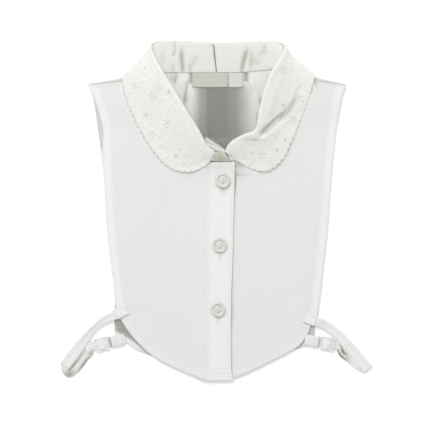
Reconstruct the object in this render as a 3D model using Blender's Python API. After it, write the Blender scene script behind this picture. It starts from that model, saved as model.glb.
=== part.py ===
"""Child's collar dickey: a short sleeveless half-shirt with a flat scalloped collar, laid on its back.

X runs across the garment, Y from hem to collar and Z up from the surface it lies on. Sizes are in
millimetres until a mesh is made. The wearer's right is at -X.
"""

import math
from collections.abc import Callable
from typing import NamedTuple

import bmesh
import bpy
import numpy as np

MM = 0.001

# Cloth
CLOTH = 1.0  # thickness of every cloth wall
GAP = 0.3  # between pieces that touch
LAYER = CLOTH + GAP  # from one layer's middle to the next one's

# How the panels lie
FLOOR_LAYER = CLOTH / 2  # middle of the lowest layer
LEAF_LIFT = 1.6  # the back panel rides this much higher where the collar leaf is under it
LIFT_STARTS_Y, LIFT_ENDS_Y = 57.8, 88.2
NECK_RISE = 2.0  # the fronts are pulled up beside the collar
NECK_RISE_REACH = 22.0
RISEN_EASE = 0.2  # the placket's extra air where both layers curve up
EASE_STARTS_Y, EASE_LENGTH = -5.0, 20.0
SHOULDER_Y, RISE_FULL_Y = 99.0, 84.0
OVERLAP_STARTS_X, OVERLAP_ENDS_X = -17.0, -7.5  # the right front climbs onto the left front here
CENTRE_EDGE_X = -5.2  # where the right front stops at the placket's seam

# Collar
STAND_STEPS, ROLL_STEPS, LEAF_STEPS = 2, 3, 4
SCALLOP_PITCH = 4.6
SCALLOP_DEPTH = 0.9
HIDDEN_PITCH = 5.0  # stations under the back panel, where the edge is plain
SHOULDER_SHARE = 0.31  # share of the way round where the edge comes out from under the panel
WRAP_END_SHARE = 0.40
WRAP_PITCH = 1.2
LEAF_CLEARANCE = 0.45  # extra air between the leaf and the coarser panel under it
HANDLE_SHARE = 0.35  # how much of its length each end of a bent stretch keeps its heading
SEAM_RISES_SHARE, SEAM_RISE_LENGTH = 0.29, 0.06  # where the neck seam passes from the back to the front
CREASE_ENDS = (0.08, 0.92)  # shares of a crease's length between which its depth changes

# Panels
NECK_ROWS, BODY_ROWS = 11, 9
FRONT_COLUMNS = 9
SEAM_GAP = 0.5  # the collar's seam stands this far inside the panels' neck edge
FRONT_NECK_SHARE = 0.405  # where a front's neck edge starts, at the shoulder
RIGHT_NECK_END_SHARE = 0.945  # where the right front's neck edge meets the placket's seam
BACK_NECK_SHARE = 0.35
BACK_ROWS, BACK_ROW_CROWDING = 16, 1.5  # its rows lie closer towards the shoulders
BACK_SHOULDER_POINTS, BACK_NECK_POINTS = 4, 5
PLACKET_ROWS, PLACKET_ROW_CROWDING = BODY_ROWS + 5, 1.15

# Neckband: its lower corners, its upper corners and how far it bows out
BAND_FOOT = ((0.6, 38.2, 5.2), (11.6, 38.2, 5.2))
BAND_TOP = ((1.0, 44.8, 8.7), (7.4, 44.9, 8.6))
BAND_BOW = 0.8

# Straps
STRAP_WIDTH = 7.6
ON_FRONT = FLOOR_LAYER + 2 * LAYER  # middle of the strap where it leaves the front
FALL_STARTS, FALL_LENGTH = 0.5, 0.45  # shares of the outward stretch over which it comes down
FOLD_RADIUS = 0.8  # of the U-fold at the far end
FOLD_ANGLES = (60, 25, -25, -60)
SLOT = 4.0  # slider opening along the strap
BAR = 1.0  # slider bar, square in section
SLIDER_SIDE = 0.3  # play beside the strap
SLIDER_SOFTENING = 0.3
OVER_BAR = FLOOR_LAYER + CLOTH + BAR + 2 * GAP  # middle of the strap over the slider's bar
FRAME_LENGTH = 1.5 * BAR + SLOT  # from the slider's middle to its outer edge
TAB_REACH = 5.0  # half the tab's length
TAB_SIDE = 0.2  # what a tab or patch shows on each side of the strap
TAIL = 1.5  # how far the strap reaches past the tab's middle

# Buttons
BUTTON_RADIUS = 5.6
BUTTON_HEIGHT = 2.2
BUTTON_SIDES = 24
HOLE_RADIUS = 0.8
HOLE_OFFSET = 1.4  # of each hole from the middle, along the placket
HOLE_SIDES = 10
BUTTONS = {"top": (6.6, 23.2), "middle": (4.4, -26.0), "bottom": (3.1, -74.9)}

# Labels, sewn in under the neck seam
TAPE_TOP_Y, TAPE_FOOT_Y = 104.6, 94.4
NECK_LABEL_X = (-16.4, 10.3)
SIZE_TAG_X = (11.4, 21.8)


class Ring(NamedTuple):
    """One turn of the button's outline, as shares of its radius and height."""

    radius: float
    height: float


BUTTON_RINGS = [
    Ring(0.80, 0.0),
    Ring(0.97, 0.20),
    Ring(1.0, 0.55),
    Ring(0.94, 0.90),
    Ring(0.82, 1.0),
    Ring(0.68, 0.88),
    Ring(0.56, 0.62),
]


class Key(NamedTuple):
    """One row of a curve: how far along it is, from 0 to 1, and its place."""

    share: float
    x: float
    y: float
    z: float = 0.0


# The roll line is where the collar turns over, from the centre back to the centre front.
RIGHT_ROLL = [
    Key(0.00, -0.7, 127.8, 1.3),
    Key(0.12, -18.2, 129.0, 1.3),
    Key(0.25, -34.2, 129.5, 1.8),
    Key(0.31, -41.8, 129.0, 3.0),
    Key(0.36, -46.4, 126.5, 5.5),
    Key(0.40, -46.0, 122.0, 8.0),
    Key(0.46, -42.2, 114.8, 10.5),
    Key(0.55, -35.0, 102.6, 13.0),
    Key(0.64, -26.6, 88.9, 14.5),
    Key(0.72, -18.6, 74.5, 14.5),
    Key(0.80, -11.4, 61.2, 13.5),
    Key(0.87, -7.2, 53.2, 12.0),
    Key(0.93, -3.8, 48.3, 10.5),
    Key(1.00, 0.4, 44.8, 9.0),
]
# The leaf's outer edge runs under the back panel, round the shoulder and down over the front.
RIGHT_EDGE = [
    Key(0.00, -3.8, 93.5, 0.5),
    Key(0.12, -25.1, 93.1, 0.5),
    Key(0.25, -48.6, 93.1, 0.5),
    Key(0.32, -61.2, 96.1, 0.5),
    Key(0.345, -66.3, 101.5, 1.0),
    Key(0.36, -68.0, 104.4, 2.8),
    Key(0.375, -69.6, 102.3, 4.9),
    Key(0.40, -69.3, 97.7, 5.3),
    Key(0.46, -68.2, 93.5, 5.0),
    Key(0.55, -63.8, 80.6, 4.5),
    Key(0.64, -57.4, 67.6, 4.0),
    Key(0.72, -49.8, 54.0, 4.0),
    Key(0.80, -39.5, 40.3, 4.0),
    Key(0.87, -28.9, 32.7, 4.0),
    Key(0.93, -17.5, 30.2, 4.5),
    Key(0.97, -6.1, 35.0, 6.4),
    Key(1.00, 0.6, 42.9, 7.6),
]
# The neck seam: along the back panel, past the shoulder and down the front's neck edge.
RIGHT_SEAM = [
    Key(0.00, 1.6, 105.3),
    Key(0.12, -16.0, 105.3),
    Key(0.25, -33.4, 105.3),
    Key(0.31, -41.4, 105.2),
    Key(0.36, -47.9, 104.5),
    Key(0.40, -50.9, 101.8),
    Key(0.46, -50.9, 95.0),
    Key(0.55, -47.5, 83.6),
    Key(0.64, -41.0, 72.2),
    Key(0.72, -33.1, 61.2),
    Key(0.80, -23.9, 51.3),
    Key(0.87, -15.2, 44.1),
    Key(0.93, -7.6, 39.9),
    Key(1.00, -0.3, 38.0),
]
LEFT_ROLL = [
    Key(0.00, 0.1, 127.8, 1.3),
    Key(0.12, 18.2, 128.2, 1.3),
    Key(0.25, 36.5, 128.8, 1.8),
    Key(0.31, 47.1, 128.6, 3.0),
    Key(0.36, 53.2, 125.8, 5.5),
    Key(0.40, 52.6, 121.2, 8.0),
    Key(0.46, 49.6, 114.8, 10.5),
    Key(0.55, 43.7, 104.9, 12.8),
    Key(0.64, 38.0, 90.4, 14.0),
    Key(0.72, 34.2, 74.5, 13.5),
    Key(0.80, 31.2, 61.6, 12.0),
    Key(0.87, 22.8, 57.8, 11.3),
    Key(0.93, 14.4, 53.4, 10.4),
    Key(0.97, 10.3, 49.0, 9.6),
    Key(1.00, 8.6, 44.8, 9.0),
]
LEFT_EDGE = [
    Key(0.00, 3.8, 93.5, 0.5),
    Key(0.12, 25.1, 93.1, 0.5),
    Key(0.25, 53.2, 93.5, 0.5),
    Key(0.32, 66.9, 96.1, 0.5),
    Key(0.345, 72.9, 101.8, 1.0),
    Key(0.36, 74.8, 104.8, 2.8),
    Key(0.375, 76.1, 102.4, 4.9),
    Key(0.40, 75.2, 97.7, 5.3),
    Key(0.46, 74.3, 91.2, 5.0),
    Key(0.55, 71.8, 79.8, 4.5),
    Key(0.64, 66.9, 66.9, 4.0),
    Key(0.72, 60.4, 53.2, 4.0),
    Key(0.80, 52.8, 39.9, 4.0),
    Key(0.87, 41.0, 30.9, 4.0),
    Key(0.93, 28.9, 32.2, 4.0),
    Key(0.97, 18.6, 37.6, 5.0),
    Key(1.00, 12.1, 43.3, 7.0),
]
LEFT_SEAM = [
    Key(0.00, 2.3, 105.3),
    Key(0.12, 19.8, 105.5),
    Key(0.25, 38.0, 107.0),
    Key(0.31, 46.4, 108.0),
    Key(0.36, 52.8, 107.0),
    Key(0.40, 56.6, 103.7),
    Key(0.46, 57.0, 95.8),
    Key(0.55, 55.5, 84.4),
    Key(0.64, 50.9, 71.4),
    Key(0.72, 44.5, 60.8),
    Key(0.80, 36.1, 51.7),
    Key(0.87, 27.4, 44.8),
    Key(0.93, 19.8, 40.3),
    Key(0.97, 15.2, 38.4),
    Key(1.00, 12.6, 38.0),
]


class Fold(NamedTuple):
    """How the collar turns over at one share of the way round."""

    share: float
    facing: float  # degrees that the leaf's outside faces above the horizon
    radius: float  # of the roll's middle
    tilt: float  # rise of the roll towards its apex


FOLDS = [
    Fold(0.00, -90, 0.8, 0.00),
    Fold(0.20, -90, 0.8, 0.00),
    Fold(0.28, -72, 1.0, 0.00),
    Fold(0.33, -35, 1.3, 0.05),
    Fold(0.36, 0, 1.5, 0.20),
    Fold(0.40, 45, 1.6, 0.30),
    Fold(0.46, 75, 1.6, 0.35),
    Fold(0.55, 90, 1.6, 0.35),
    Fold(0.93, 90, 1.4, 0.35),
    Fold(1.00, 90, 1.1, 0.35),
]


class Crease(NamedTuple):
    """A valley pressed into the leaf, from one place to another."""

    start: tuple[float, float]
    end: tuple[float, float]
    depth: float
    half_width: float


LEFT_CREASE = Crease((66.0, 90.0), (28.0, 54.5), 3.2, 6.5)
RIGHT_CREASE = Crease((-58.0, 96.0), (-40.0, 60.0), 0.8, 9.0)

# Outlines of the panels, top to bottom or side to centre
BACK_RIGHT_SIDE = [
    Key(0.00, -95.5, 96.5),
    Key(0.06, -91.5, 85.3),
    Key(0.16, -88.5, 64.6),
    Key(0.26, -86.1, 46.4),
    Key(0.39, -83.6, 22.0),
    Key(0.54, -81.9, -8.0),
    Key(0.69, -78.8, -38.0),
    Key(0.82, -75.8, -62.3),
    Key(0.93, -75.5, -82.8),
    Key(1.00, -75.6, -95.4),
]
FRONT_RIGHT_SIDE = [
    Key(0.00, -95.5, 96.5),
    Key(0.07, -90.8, 85.3),
    Key(0.14, -86.8, 73.0),
    Key(0.22, -84.1, 60.0),
    Key(0.28, -84.4, 49.4),
    Key(0.44, -83.3, 22.0),
    Key(0.62, -81.5, -8.0),
    Key(0.80, -78.5, -38.0),
    Key(0.94, -75.6, -62.3),
    Key(1.00, -75.0, -71.8),
]
BACK_LEFT_SIDE = [
    Key(0.00, 100.3, 96.1),
    Key(0.04, 97.3, 88.2),
    Key(0.13, 94.2, 70.7),
    Key(0.23, 91.7, 51.7),
    Key(0.36, 89.2, 26.6),
    Key(0.48, 87.4, 1.5),
    Key(0.61, 85.4, -23.6),
    Key(0.72, 82.8, -46.4),
    Key(0.83, 80.4, -68.0),
    Key(0.89, 79.0, -79.0),
    Key(0.93, 76.8, -87.4),
    Key(1.00, 75.8, -101.8),
]
FRONT_LEFT_SIDE = [
    Key(0.00, 100.3, 96.1),
    Key(0.05, 97.3, 88.2),
    Key(0.14, 94.2, 70.7),
    Key(0.25, 91.7, 51.7),
    Key(0.39, 89.2, 26.6),
    Key(0.53, 87.4, 1.5),
    Key(0.67, 85.4, -23.6),
    Key(0.80, 82.8, -46.4),
    Key(0.92, 80.4, -68.0),
    Key(1.00, 78.4, -80.5),
]
FRONT_RIGHT_HEM = [
    Key(0.00, -75.0, -71.8),
    Key(0.12, -71.0, -82.1),
    Key(0.29, -61.8, -95.8),
    Key(0.50, -47.1, -109.9),
    Key(0.73, -28.9, -120.1),
    Key(0.96, -8.4, -128.4),
    Key(1.00, CENTRE_EDGE_X, -129.2),
]
FRONT_LEFT_HEM = [
    Key(0.00, 78.4, -80.5),
    Key(0.06, 73.7, -87.0),
    Key(0.13, 71.4, -93.5),
    Key(0.26, 63.5, -103.4),
    Key(0.49, 43.2, -114.5),
    Key(0.79, 16.7, -126.5),
    Key(1.00, -3.4, -129.2),
]
BACK_HEM = [
    Key(0.00, -75.6, -95.4),
    Key(0.06, -66.3, -100.8),
    Key(0.11, -59.3, -105.6),
    Key(0.18, -49.0, -109.4),
    Key(0.31, -28.9, -118.2),
    Key(0.43, -8.4, -125.4),
    Key(0.50, 3.0, -126.8),
    Key(0.60, 16.7, -124.5),
    Key(0.78, 43.2, -113.0),
    Key(0.91, 63.1, -104.8),
    Key(0.95, 68.4, -103.3),
    Key(1.00, 75.8, -101.8),
]
PLACKET_EDGE = [
    Key(0.00, 15.6, 37.0),
    Key(0.14, 15.2, 13.7),
    Key(0.30, 14.4, -12.0),
    Key(0.46, 13.9, -38.8),
    Key(0.64, 12.8, -67.6),
    Key(0.92, 12.9, -119.3),
    Key(1.00, 14.6, -128.6),
]
PLACKET_SEAM_X = CENTRE_EDGE_X + GAP
LEFT_CENTRE_X = -3.4

# Strap routes from the box stitching on the front to the fold at the far end, then back
RIGHT_OUTWARD = [
    (-66.5, -74.6),
    (-77.1, -80.9),
    (-83.1, -85.2),
    (-94.2, -96.5),
    (-104.9, -107.8),
    (-115.0, -119.0),
]
RIGHT_RETURN = [(-115.0, -119.0), (-109.5, -119.9), (-104.0, -116.6), (-97.6, -111.2)]
RIGHT_SLIDER = (-85.3, -101.2)
RIGHT_TAB = (-72.9, -98.4)
LEFT_OUTWARD = [
    (68.8, -80.5),
    (79.0, -84.4),
    (85.9, -87.6),
    (92.8, -92.6),
    (101.6, -101.6),
    (108.4, -110.2),
    (114.6, -117.6),
]
LEFT_RETURN = [(114.6, -117.6), (109.2, -116.4), (103.6, -112.6), (98.0, -108.2)]
LEFT_SLIDER = (86.4, -100.9)
LEFT_TAB = (74.3, -98.6)


class Finish(NamedTuple):
    """A plain finish for one kind of piece."""

    colour: tuple[float, float, float]
    roughness: float


POPLIN = Finish((0.80, 0.80, 0.79), 0.85)
EMBROIDERED = Finish((0.83, 0.84, 0.80), 0.85)
ELASTIC = Finish((0.84, 0.84, 0.84), 0.6)
LABEL_TAPE = Finish((0.80, 0.79, 0.74), 0.7)
PEARL = Finish((0.78, 0.79, 0.76), 0.25)
CLEAR = Finish((0.85, 0.86, 0.86), 0.15)


def material_of(name: str, finish: Finish) -> bpy.types.Material:
    """A Principled material with the finish's colour and roughness."""
    made = bpy.data.materials.get(name) or bpy.data.materials.new(name)
    made.use_nodes = True
    shader = made.node_tree.nodes["Principled BSDF"]
    shader.inputs["Base Color"].default_value = (*finish.colour, 1.0)
    shader.inputs["Roughness"].default_value = finish.roughness
    shader.inputs["Metallic"].default_value = 0.0
    return made


def eased(value):
    """Nought to one with soft ends."""
    value = np.clip(value, 0.0, 1.0)
    return value * value * (3.0 - 2.0 * value)


def curve_at(keys: list[Key], shares: np.ndarray) -> np.ndarray:
    """Places on a smooth curve through the keys, as rows of x, y, z."""
    knots = np.array([key.share for key in keys])
    points = np.array([[key.x, key.y, key.z] for key in keys])
    slopes = np.empty_like(points)
    slopes[1:-1] = (points[2:] - points[:-2]) / (knots[2:] - knots[:-2])[:, None]
    slopes[0] = (points[1] - points[0]) / (knots[1] - knots[0])
    slopes[-1] = (points[-1] - points[-2]) / (knots[-1] - knots[-2])
    shares = np.clip(np.atleast_1d(shares), knots[0], knots[-1])
    place = np.clip(np.searchsorted(knots, shares, side="right") - 1, 0, len(knots) - 2)
    span = knots[place + 1] - knots[place]
    u = ((shares - knots[place]) / span)[:, None]
    span = span[:, None]
    return (
        (2 * u**3 - 3 * u**2 + 1) * points[place]
        + (u**3 - 2 * u**2 + u) * span * slopes[place]
        + (3 * u**2 - 2 * u**3) * points[place + 1]
        + (u**3 - u**2) * span * slopes[place + 1]
    )


def unit(vector: np.ndarray) -> np.ndarray:
    """The vector at length one."""
    return vector / max(float(np.linalg.norm(vector)), 1e-9)


# Heights of the layers

NECK_LINE = np.vstack(
    [
        curve_at(RIGHT_SEAM, np.linspace(0.42, 1.0, 40))[:, :2],
        curve_at(LEFT_SEAM, np.linspace(1.0, 0.42, 40))[:, :2],
    ]
)


def back_height(x, y):
    """Middle of the back panel's wall."""
    return FLOOR_LAYER + LEAF_LIFT * eased((y - LIFT_STARTS_Y) / (LIFT_ENDS_Y - LIFT_STARTS_Y))


def neck_rise(x, y):
    """How much the collar pulls the fronts up."""
    away = np.hypot(NECK_LINE[:, 0] - x, NECK_LINE[:, 1] - y).min()
    near_shoulder = eased((SHOULDER_Y - y) / (SHOULDER_Y - RISE_FULL_Y))
    return NECK_RISE * (1.0 - eased(away / NECK_RISE_REACH)) * near_shoulder


def left_front_height(x, y):
    """Middle of the left front's wall, which lies on the back panel."""
    return back_height(x, y) + LAYER + neck_rise(x, y)


def right_front_height(x, y):
    """Middle of the right front's wall, which climbs onto the left front before the centre."""
    climb = eased((x - OVERLAP_STARTS_X) / (OVERLAP_ENDS_X - OVERLAP_STARTS_X))
    return left_front_height(x, y) + LAYER * climb


def placket_height(x, y):
    """Middle of the placket's wall, one layer above the left front."""
    return left_front_height(x, y) + LAYER + RISEN_EASE * float(eased((y - EASE_STARTS_Y) / EASE_LENGTH))


# Walls


def grid_normals(grid: np.ndarray) -> np.ndarray:
    """Unit normals of a grid of points, by the differences between neighbours."""
    along = np.gradient(grid, axis=0)
    across = np.gradient(grid, axis=1)
    normals = np.cross(along, across)
    return normals / np.linalg.norm(normals, axis=2, keepdims=True)


def wall(name: str, grid: np.ndarray, finish: Finish, thickness: float = CLOTH) -> bpy.types.Object:
    """A closed cloth wall about a grid of its middle points, in millimetres."""
    rows, columns = grid.shape[:2]
    normals = grid_normals(grid)
    skins = [grid + normals * side * thickness / 2 for side in (1, -1)]
    mesh = bpy.data.meshes.new(name)
    shape = bmesh.new()
    front, back = ([[shape.verts.new(point * MM) for point in row] for row in skin] for skin in skins)
    for i in range(rows - 1):
        for j in range(columns - 1):
            shape.faces.new((front[i][j], front[i + 1][j], front[i + 1][j + 1], front[i][j + 1]))
            shape.faces.new((back[i][j], back[i][j + 1], back[i + 1][j + 1], back[i + 1][j]))
    rim = [(i, 0) for i in range(rows)]
    rim += [(rows - 1, j) for j in range(1, columns)]
    rim += [(i, columns - 1) for i in range(rows - 2, -1, -1)]
    rim += [(0, j) for j in range(columns - 2, 0, -1)]
    for (i, j), (k, m) in zip(rim, rim[1:] + rim[:1]):
        shape.faces.new((front[i][j], back[i][j], back[k][m], front[k][m]))
    shape.to_mesh(mesh)
    shape.free()
    made = bpy.data.objects.new(name, mesh)
    mesh.materials.append(material_of(name, finish))
    mesh.shade_smooth()
    mesh.set_sharp_from_angle(angle=math.radians(50))
    bpy.context.scene.collection.objects.link(made)
    return made


def straight(start: tuple[float, ...], end: tuple[float, ...], count: int) -> np.ndarray:
    """Evenly spaced places on a line, both ends included."""
    return np.linspace(start, end, count)


def blended_grid(
    left: np.ndarray,
    right: np.ndarray,
    top: np.ndarray,
    bottom: np.ndarray,
    row_shares: np.ndarray | None = None,
) -> np.ndarray:
    """A grid of x, y between four edges that meet at their corners."""
    if row_shares is None:
        row_shares = np.linspace(0, 1, len(left))
    down = row_shares[:, None, None]
    across = np.linspace(0, 1, len(top))[None, :, None]
    sides = (1 - across) * left[:, None] + across * right[:, None]
    ends = (1 - down) * top[None] + down * bottom[None]
    corners = (
        (1 - down) * (1 - across) * top[0]
        + (1 - down) * across * top[-1]
        + down * (1 - across) * bottom[0]
        + down * across * bottom[-1]
    )
    return sides + ends - corners


def lifted(flat: np.ndarray, height) -> np.ndarray:
    """The grid's x, y with the height that a function gives there."""
    z = np.array([[height(x, y) for x, y in row] for row in flat])
    return np.dstack([flat, z])


# Collar


class CollarHalf(NamedTuple):
    """One half of the collar: its guiding curves, its crease, its own front's height, and its side."""

    name: str
    roll: list[Key]
    edge: list[Key]
    seam: list[Key]
    crease: Crease
    front_height: Callable
    side: int  # 1 for the wearer's right, -1 for the left


def station_shares(edge: list[Key]) -> list[tuple[float, float]]:
    """Each station's share and its scallop height, 0 to 1, spaced along the outer edge."""
    shares = np.linspace(0, 1, 1201)
    points = curve_at(edge, shares)
    lengths = np.concatenate([[0], np.cumsum(np.linalg.norm(np.diff(points, axis=0), axis=1))])
    shoulder, wrapped = np.interp((SHOULDER_SHARE, WRAP_END_SHARE), shares, lengths)
    stations = []
    for start, end, pitch, scalloped in (
        (0.0, shoulder, HIDDEN_PITCH, False),
        (shoulder, wrapped, WRAP_PITCH, False),
        (wrapped, lengths[-1], SCALLOP_PITCH / 2, True),
    ):
        count = max(2, 2 * round((end - start) / pitch / 2))
        for n in range(count):
            place = start + (end - start) * n / count
            scallop = float(n % 2) if scalloped else 0.5
            stations.append((float(np.interp(place, lengths, shares)), scallop))
    stations.append((1.0, 0.0))
    return stations


def fold_at(share: float) -> tuple[float, float, float]:
    """Facing in radians, radius and tilt of the roll at a share of the way round."""
    shares = [fold.share for fold in FOLDS]
    facing = math.radians(np.interp(share, shares, [fold.facing for fold in FOLDS]))
    radius = float(np.interp(share, shares, [fold.radius for fold in FOLDS]))
    tilt = float(np.interp(share, shares, [fold.tilt for fold in FOLDS]))
    return facing, radius, tilt


def bent(
    start: np.ndarray,
    leave: np.ndarray,
    arrive: np.ndarray,
    end: np.ndarray,
    steps: int,
) -> list[np.ndarray]:
    """Points on a cubic curve from start to end, both included."""
    made = []
    for u in np.linspace(0, 1, steps + 1):
        v = 1 - u
        made.append(v**3 * start + 3 * v * v * u * leave + 3 * v * u * u * arrive + u**3 * end)
    return made


def crease_depth(crease: Crease, x: float, y: float) -> float:
    """How deep the crease is at a place."""
    start, end = np.array(crease.start), np.array(crease.end)
    along = float(np.dot((x, y) - start, end - start) / np.dot(end - start, end - start))
    away = float(np.linalg.norm(start + (end - start) * np.clip(along, 0, 1) - (x, y)))
    profile = float(1 - eased(away / crease.half_width))
    fading = math.sin(math.pi * np.clip(along, *CREASE_ENDS))
    return crease.depth * profile * fading


def seam_height(half: CollarHalf, share: float, x: float, y: float) -> float:
    """The neck seam passes from the back panel up to the front."""
    on_front = float(eased((share - SEAM_RISES_SHARE) / SEAM_RISE_LENGTH))
    return back_height(x, y) * (1 - on_front) + half.front_height(x, y) * on_front


def collar_section(half: CollarHalf, share: float, scallop: float) -> list[np.ndarray]:
    """Middle points from the neck seam up the stand, over the roll and down the leaf."""
    roll, edge, seam = (curve_at(keys, share)[0] for keys in (half.roll, half.edge, half.seam))
    seam[2] = seam_height(half, share, seam[0], seam[1])
    facing, radius, tilt = fold_at(share)
    roll[2] = max(roll[2], FLOOR_LAYER + radius)
    flat_apex = -unit(unit((edge - roll)[:2]) + unit((seam - roll)[:2]))
    apex = unit(np.array([flat_apex[0], flat_apex[1], tilt]))
    level = half.side * np.array([-flat_apex[1], flat_apex[0], 0.0])
    upward = unit(np.cross(apex, level) * half.side)
    outside = math.cos(facing) * level + math.sin(facing) * upward
    centre = roll - radius * apex
    stand_top = centre - radius * outside
    leaf_top = centre + radius * outside
    reach = float(np.linalg.norm(stand_top - seam))
    rising = seam + HANDLE_SHARE * (stand_top - seam)
    stand = bent(seam, rising, stand_top - HANDLE_SHARE * reach * apex, stand_top, STAND_STEPS)
    turned = []
    for step in range(1, ROLL_STEPS):
        angle = math.pi * (step / ROLL_STEPS - 0.5)
        turned.append(centre + radius * (math.cos(angle) * apex + math.sin(angle) * outside))
    outward = unit(np.append((edge - leaf_top)[:2], 0.0))
    edge = edge + outward * SCALLOP_DEPTH * (scallop - 0.5)
    handle = HANDLE_SHARE * float(np.linalg.norm(edge - leaf_top))
    leaf = bent(leaf_top, leaf_top - handle * apex, edge - handle * outward, edge, LEAF_STEPS)
    for point in leaf[1:]:
        point[2] = max(point[2], FLOOR_LAYER)
    if share > WRAP_END_SHARE:
        for point in leaf[1:]:
            point[2] -= crease_depth(half.crease, point[0], point[1])
            point[2] = max(point[2], half.front_height(point[0], point[1]) + LAYER + LEAF_CLEARANCE)
    return stand + turned + leaf


def collar_half(half: CollarHalf) -> bpy.types.Object:
    """Stand and leaf of one half in a single wall."""
    sections = [collar_section(half, share, scallop) for share, scallop in station_shares(half.edge)]
    return wall(half.name, np.array(sections), EMBROIDERED)


RIGHT_HALF = CollarHalf(
    name="collar_right",
    roll=RIGHT_ROLL,
    edge=RIGHT_EDGE,
    seam=RIGHT_SEAM,
    crease=RIGHT_CREASE,
    front_height=right_front_height,
    side=1,
)
LEFT_HALF = CollarHalf(
    name="collar_left",
    roll=LEFT_ROLL,
    edge=LEFT_EDGE,
    seam=LEFT_SEAM,
    crease=LEFT_CREASE,
    front_height=left_front_height,
    side=-1,
)


def neckband() -> bpy.types.Object:
    """The short piece of stand that shows between the two ends of the collar."""
    foot = straight(*BAND_FOOT, 5)
    top = straight(*BAND_TOP, 5)
    rows = []
    for u in np.linspace(0, 1, 4):
        bow = np.array([0.0, 0.0, BAND_BOW * math.sin(math.pi * u)])
        rows.append(foot * (1 - u) + top * u + bow)
    return wall("neckband", np.array(rows), POPLIN)


# Panels


def beside(keys: list[Key], shares: np.ndarray, away: float, side: int) -> np.ndarray:
    """Places at a distance from a curve, on the panel's side of it."""
    step = 1e-3
    points = curve_at(keys, shares)[:, :2]
    heading = curve_at(keys, shares + step)[:, :2] - curve_at(keys, shares - step)[:, :2]
    heading /= np.linalg.norm(heading, axis=1, keepdims=True)
    return points + away * side * np.column_stack([heading[:, 1], -heading[:, 0]])


def front_rows(centre_x: float, neck: np.ndarray, bottom_y: float) -> np.ndarray:
    """Places down a front's centre side: its neck edge, then its straight centre edge."""
    start = (centre_x, neck[-1][1])
    down = straight(start, (centre_x, bottom_y), BODY_ROWS + 1)
    return np.vstack([neck[:-1], down])


def right_front() -> bpy.types.Object:
    """The front on the wearer's right, which ends at the placket's seam."""
    shares = np.linspace(FRONT_NECK_SHARE, RIGHT_NECK_END_SHARE, NECK_ROWS)
    neck = beside(RIGHT_SEAM, shares, SEAM_GAP + CLOTH / 2, 1)
    neck[-1] = (CENTRE_EDGE_X, neck[-1][1])
    centre = front_rows(CENTRE_EDGE_X, neck, FRONT_RIGHT_HEM[-1].y)
    side = curve_at(FRONT_RIGHT_SIDE, np.linspace(0, 1, len(centre)))[:, :2]
    top = straight(side[0], centre[0], FRONT_COLUMNS)
    hem = curve_at(FRONT_RIGHT_HEM, np.linspace(0, 1, FRONT_COLUMNS))[:, :2]
    return wall("front_right", lifted(blended_grid(side, centre, top, hem), right_front_height), POPLIN)


def left_front() -> bpy.types.Object:
    """The front on the wearer's left, which runs on under the placket."""
    neck = beside(LEFT_SEAM, np.linspace(FRONT_NECK_SHARE, 1.0, NECK_ROWS - 1), SEAM_GAP + CLOTH / 2, -1)
    neck = np.vstack([neck, [(LEFT_CENTRE_X, neck[-1][1])]])
    centre = front_rows(LEFT_CENTRE_X, neck, FRONT_LEFT_HEM[-1].y)
    side = curve_at(FRONT_LEFT_SIDE, np.linspace(0, 1, len(centre)))[:, :2]
    top = straight(side[0], centre[0], FRONT_COLUMNS)
    hem = curve_at(FRONT_LEFT_HEM, np.linspace(0, 1, FRONT_COLUMNS))[:, :2]
    return wall("front_left", lifted(blended_grid(side, centre, top, hem), left_front_height), POPLIN)


def back_panel() -> bpy.types.Object:
    """The back, whose neck edge is hidden by the collar's stand."""
    rows = np.linspace(0, 1, BACK_ROWS) ** BACK_ROW_CROWDING
    right = curve_at(BACK_RIGHT_SIDE, rows)[:, :2]
    left = curve_at(BACK_LEFT_SIDE, rows)[:, :2]
    right_neck = beside(RIGHT_SEAM, np.linspace(BACK_NECK_SHARE, 0.0, BACK_NECK_POINTS), SEAM_GAP, -1)
    left_neck = beside(LEFT_SEAM, np.linspace(0.0, BACK_NECK_SHARE, BACK_NECK_POINTS), SEAM_GAP, 1)
    top = np.vstack(
        [
            straight(right[0], right_neck[0], BACK_SHOULDER_POINTS)[:-1],
            right_neck[:-1],
            left_neck[1:],
            straight(left_neck[-1], left[0], BACK_SHOULDER_POINTS)[1:],
        ]
    )
    hem = curve_at(BACK_HEM, np.linspace(0, 1, len(top)))[:, :2]
    return wall("back_panel", lifted(blended_grid(right, left, top, hem, rows), back_height), POPLIN)


def placket() -> bpy.types.Object:
    """The buttonhole placket down the centre front."""
    shares = np.linspace(0, 1, PLACKET_ROWS) ** PLACKET_ROW_CROWDING
    edge = curve_at(PLACKET_EDGE, shares)[:, :2]
    rows = []
    for x, y in edge:
        rows.append(straight((PLACKET_SEAM_X, y - GAP), (x, y), 4))
    return wall("placket", lifted(np.array(rows), placket_height), POPLIN)


# Straps, sliders and tabs


def smooth_route(points: list[tuple[float, float]], count: int) -> np.ndarray:
    """Evenly spaced places on a smooth curve through the points."""
    flat = np.array(points)
    lengths = np.concatenate([[0], np.cumsum(np.linalg.norm(np.diff(flat, axis=0), axis=1))])
    keys = [Key(s / lengths[-1], x, y) for s, (x, y) in zip(lengths, flat)]
    return curve_at(keys, np.linspace(0, 1, count))[:, :2]


class Strap(NamedTuple):
    """One strap: its routes, its slider's and tab's places, and the height it starts at."""

    side: str
    outward: list[tuple[float, float]]
    back: list[tuple[float, float]]
    slider: tuple[float, float]
    tab: tuple[float, float]


RIGHT_STRAP = Strap("right", RIGHT_OUTWARD, RIGHT_RETURN, RIGHT_SLIDER, RIGHT_TAB)
LEFT_STRAP = Strap("left", LEFT_OUTWARD, LEFT_RETURN, LEFT_SLIDER, LEFT_TAB)


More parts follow.
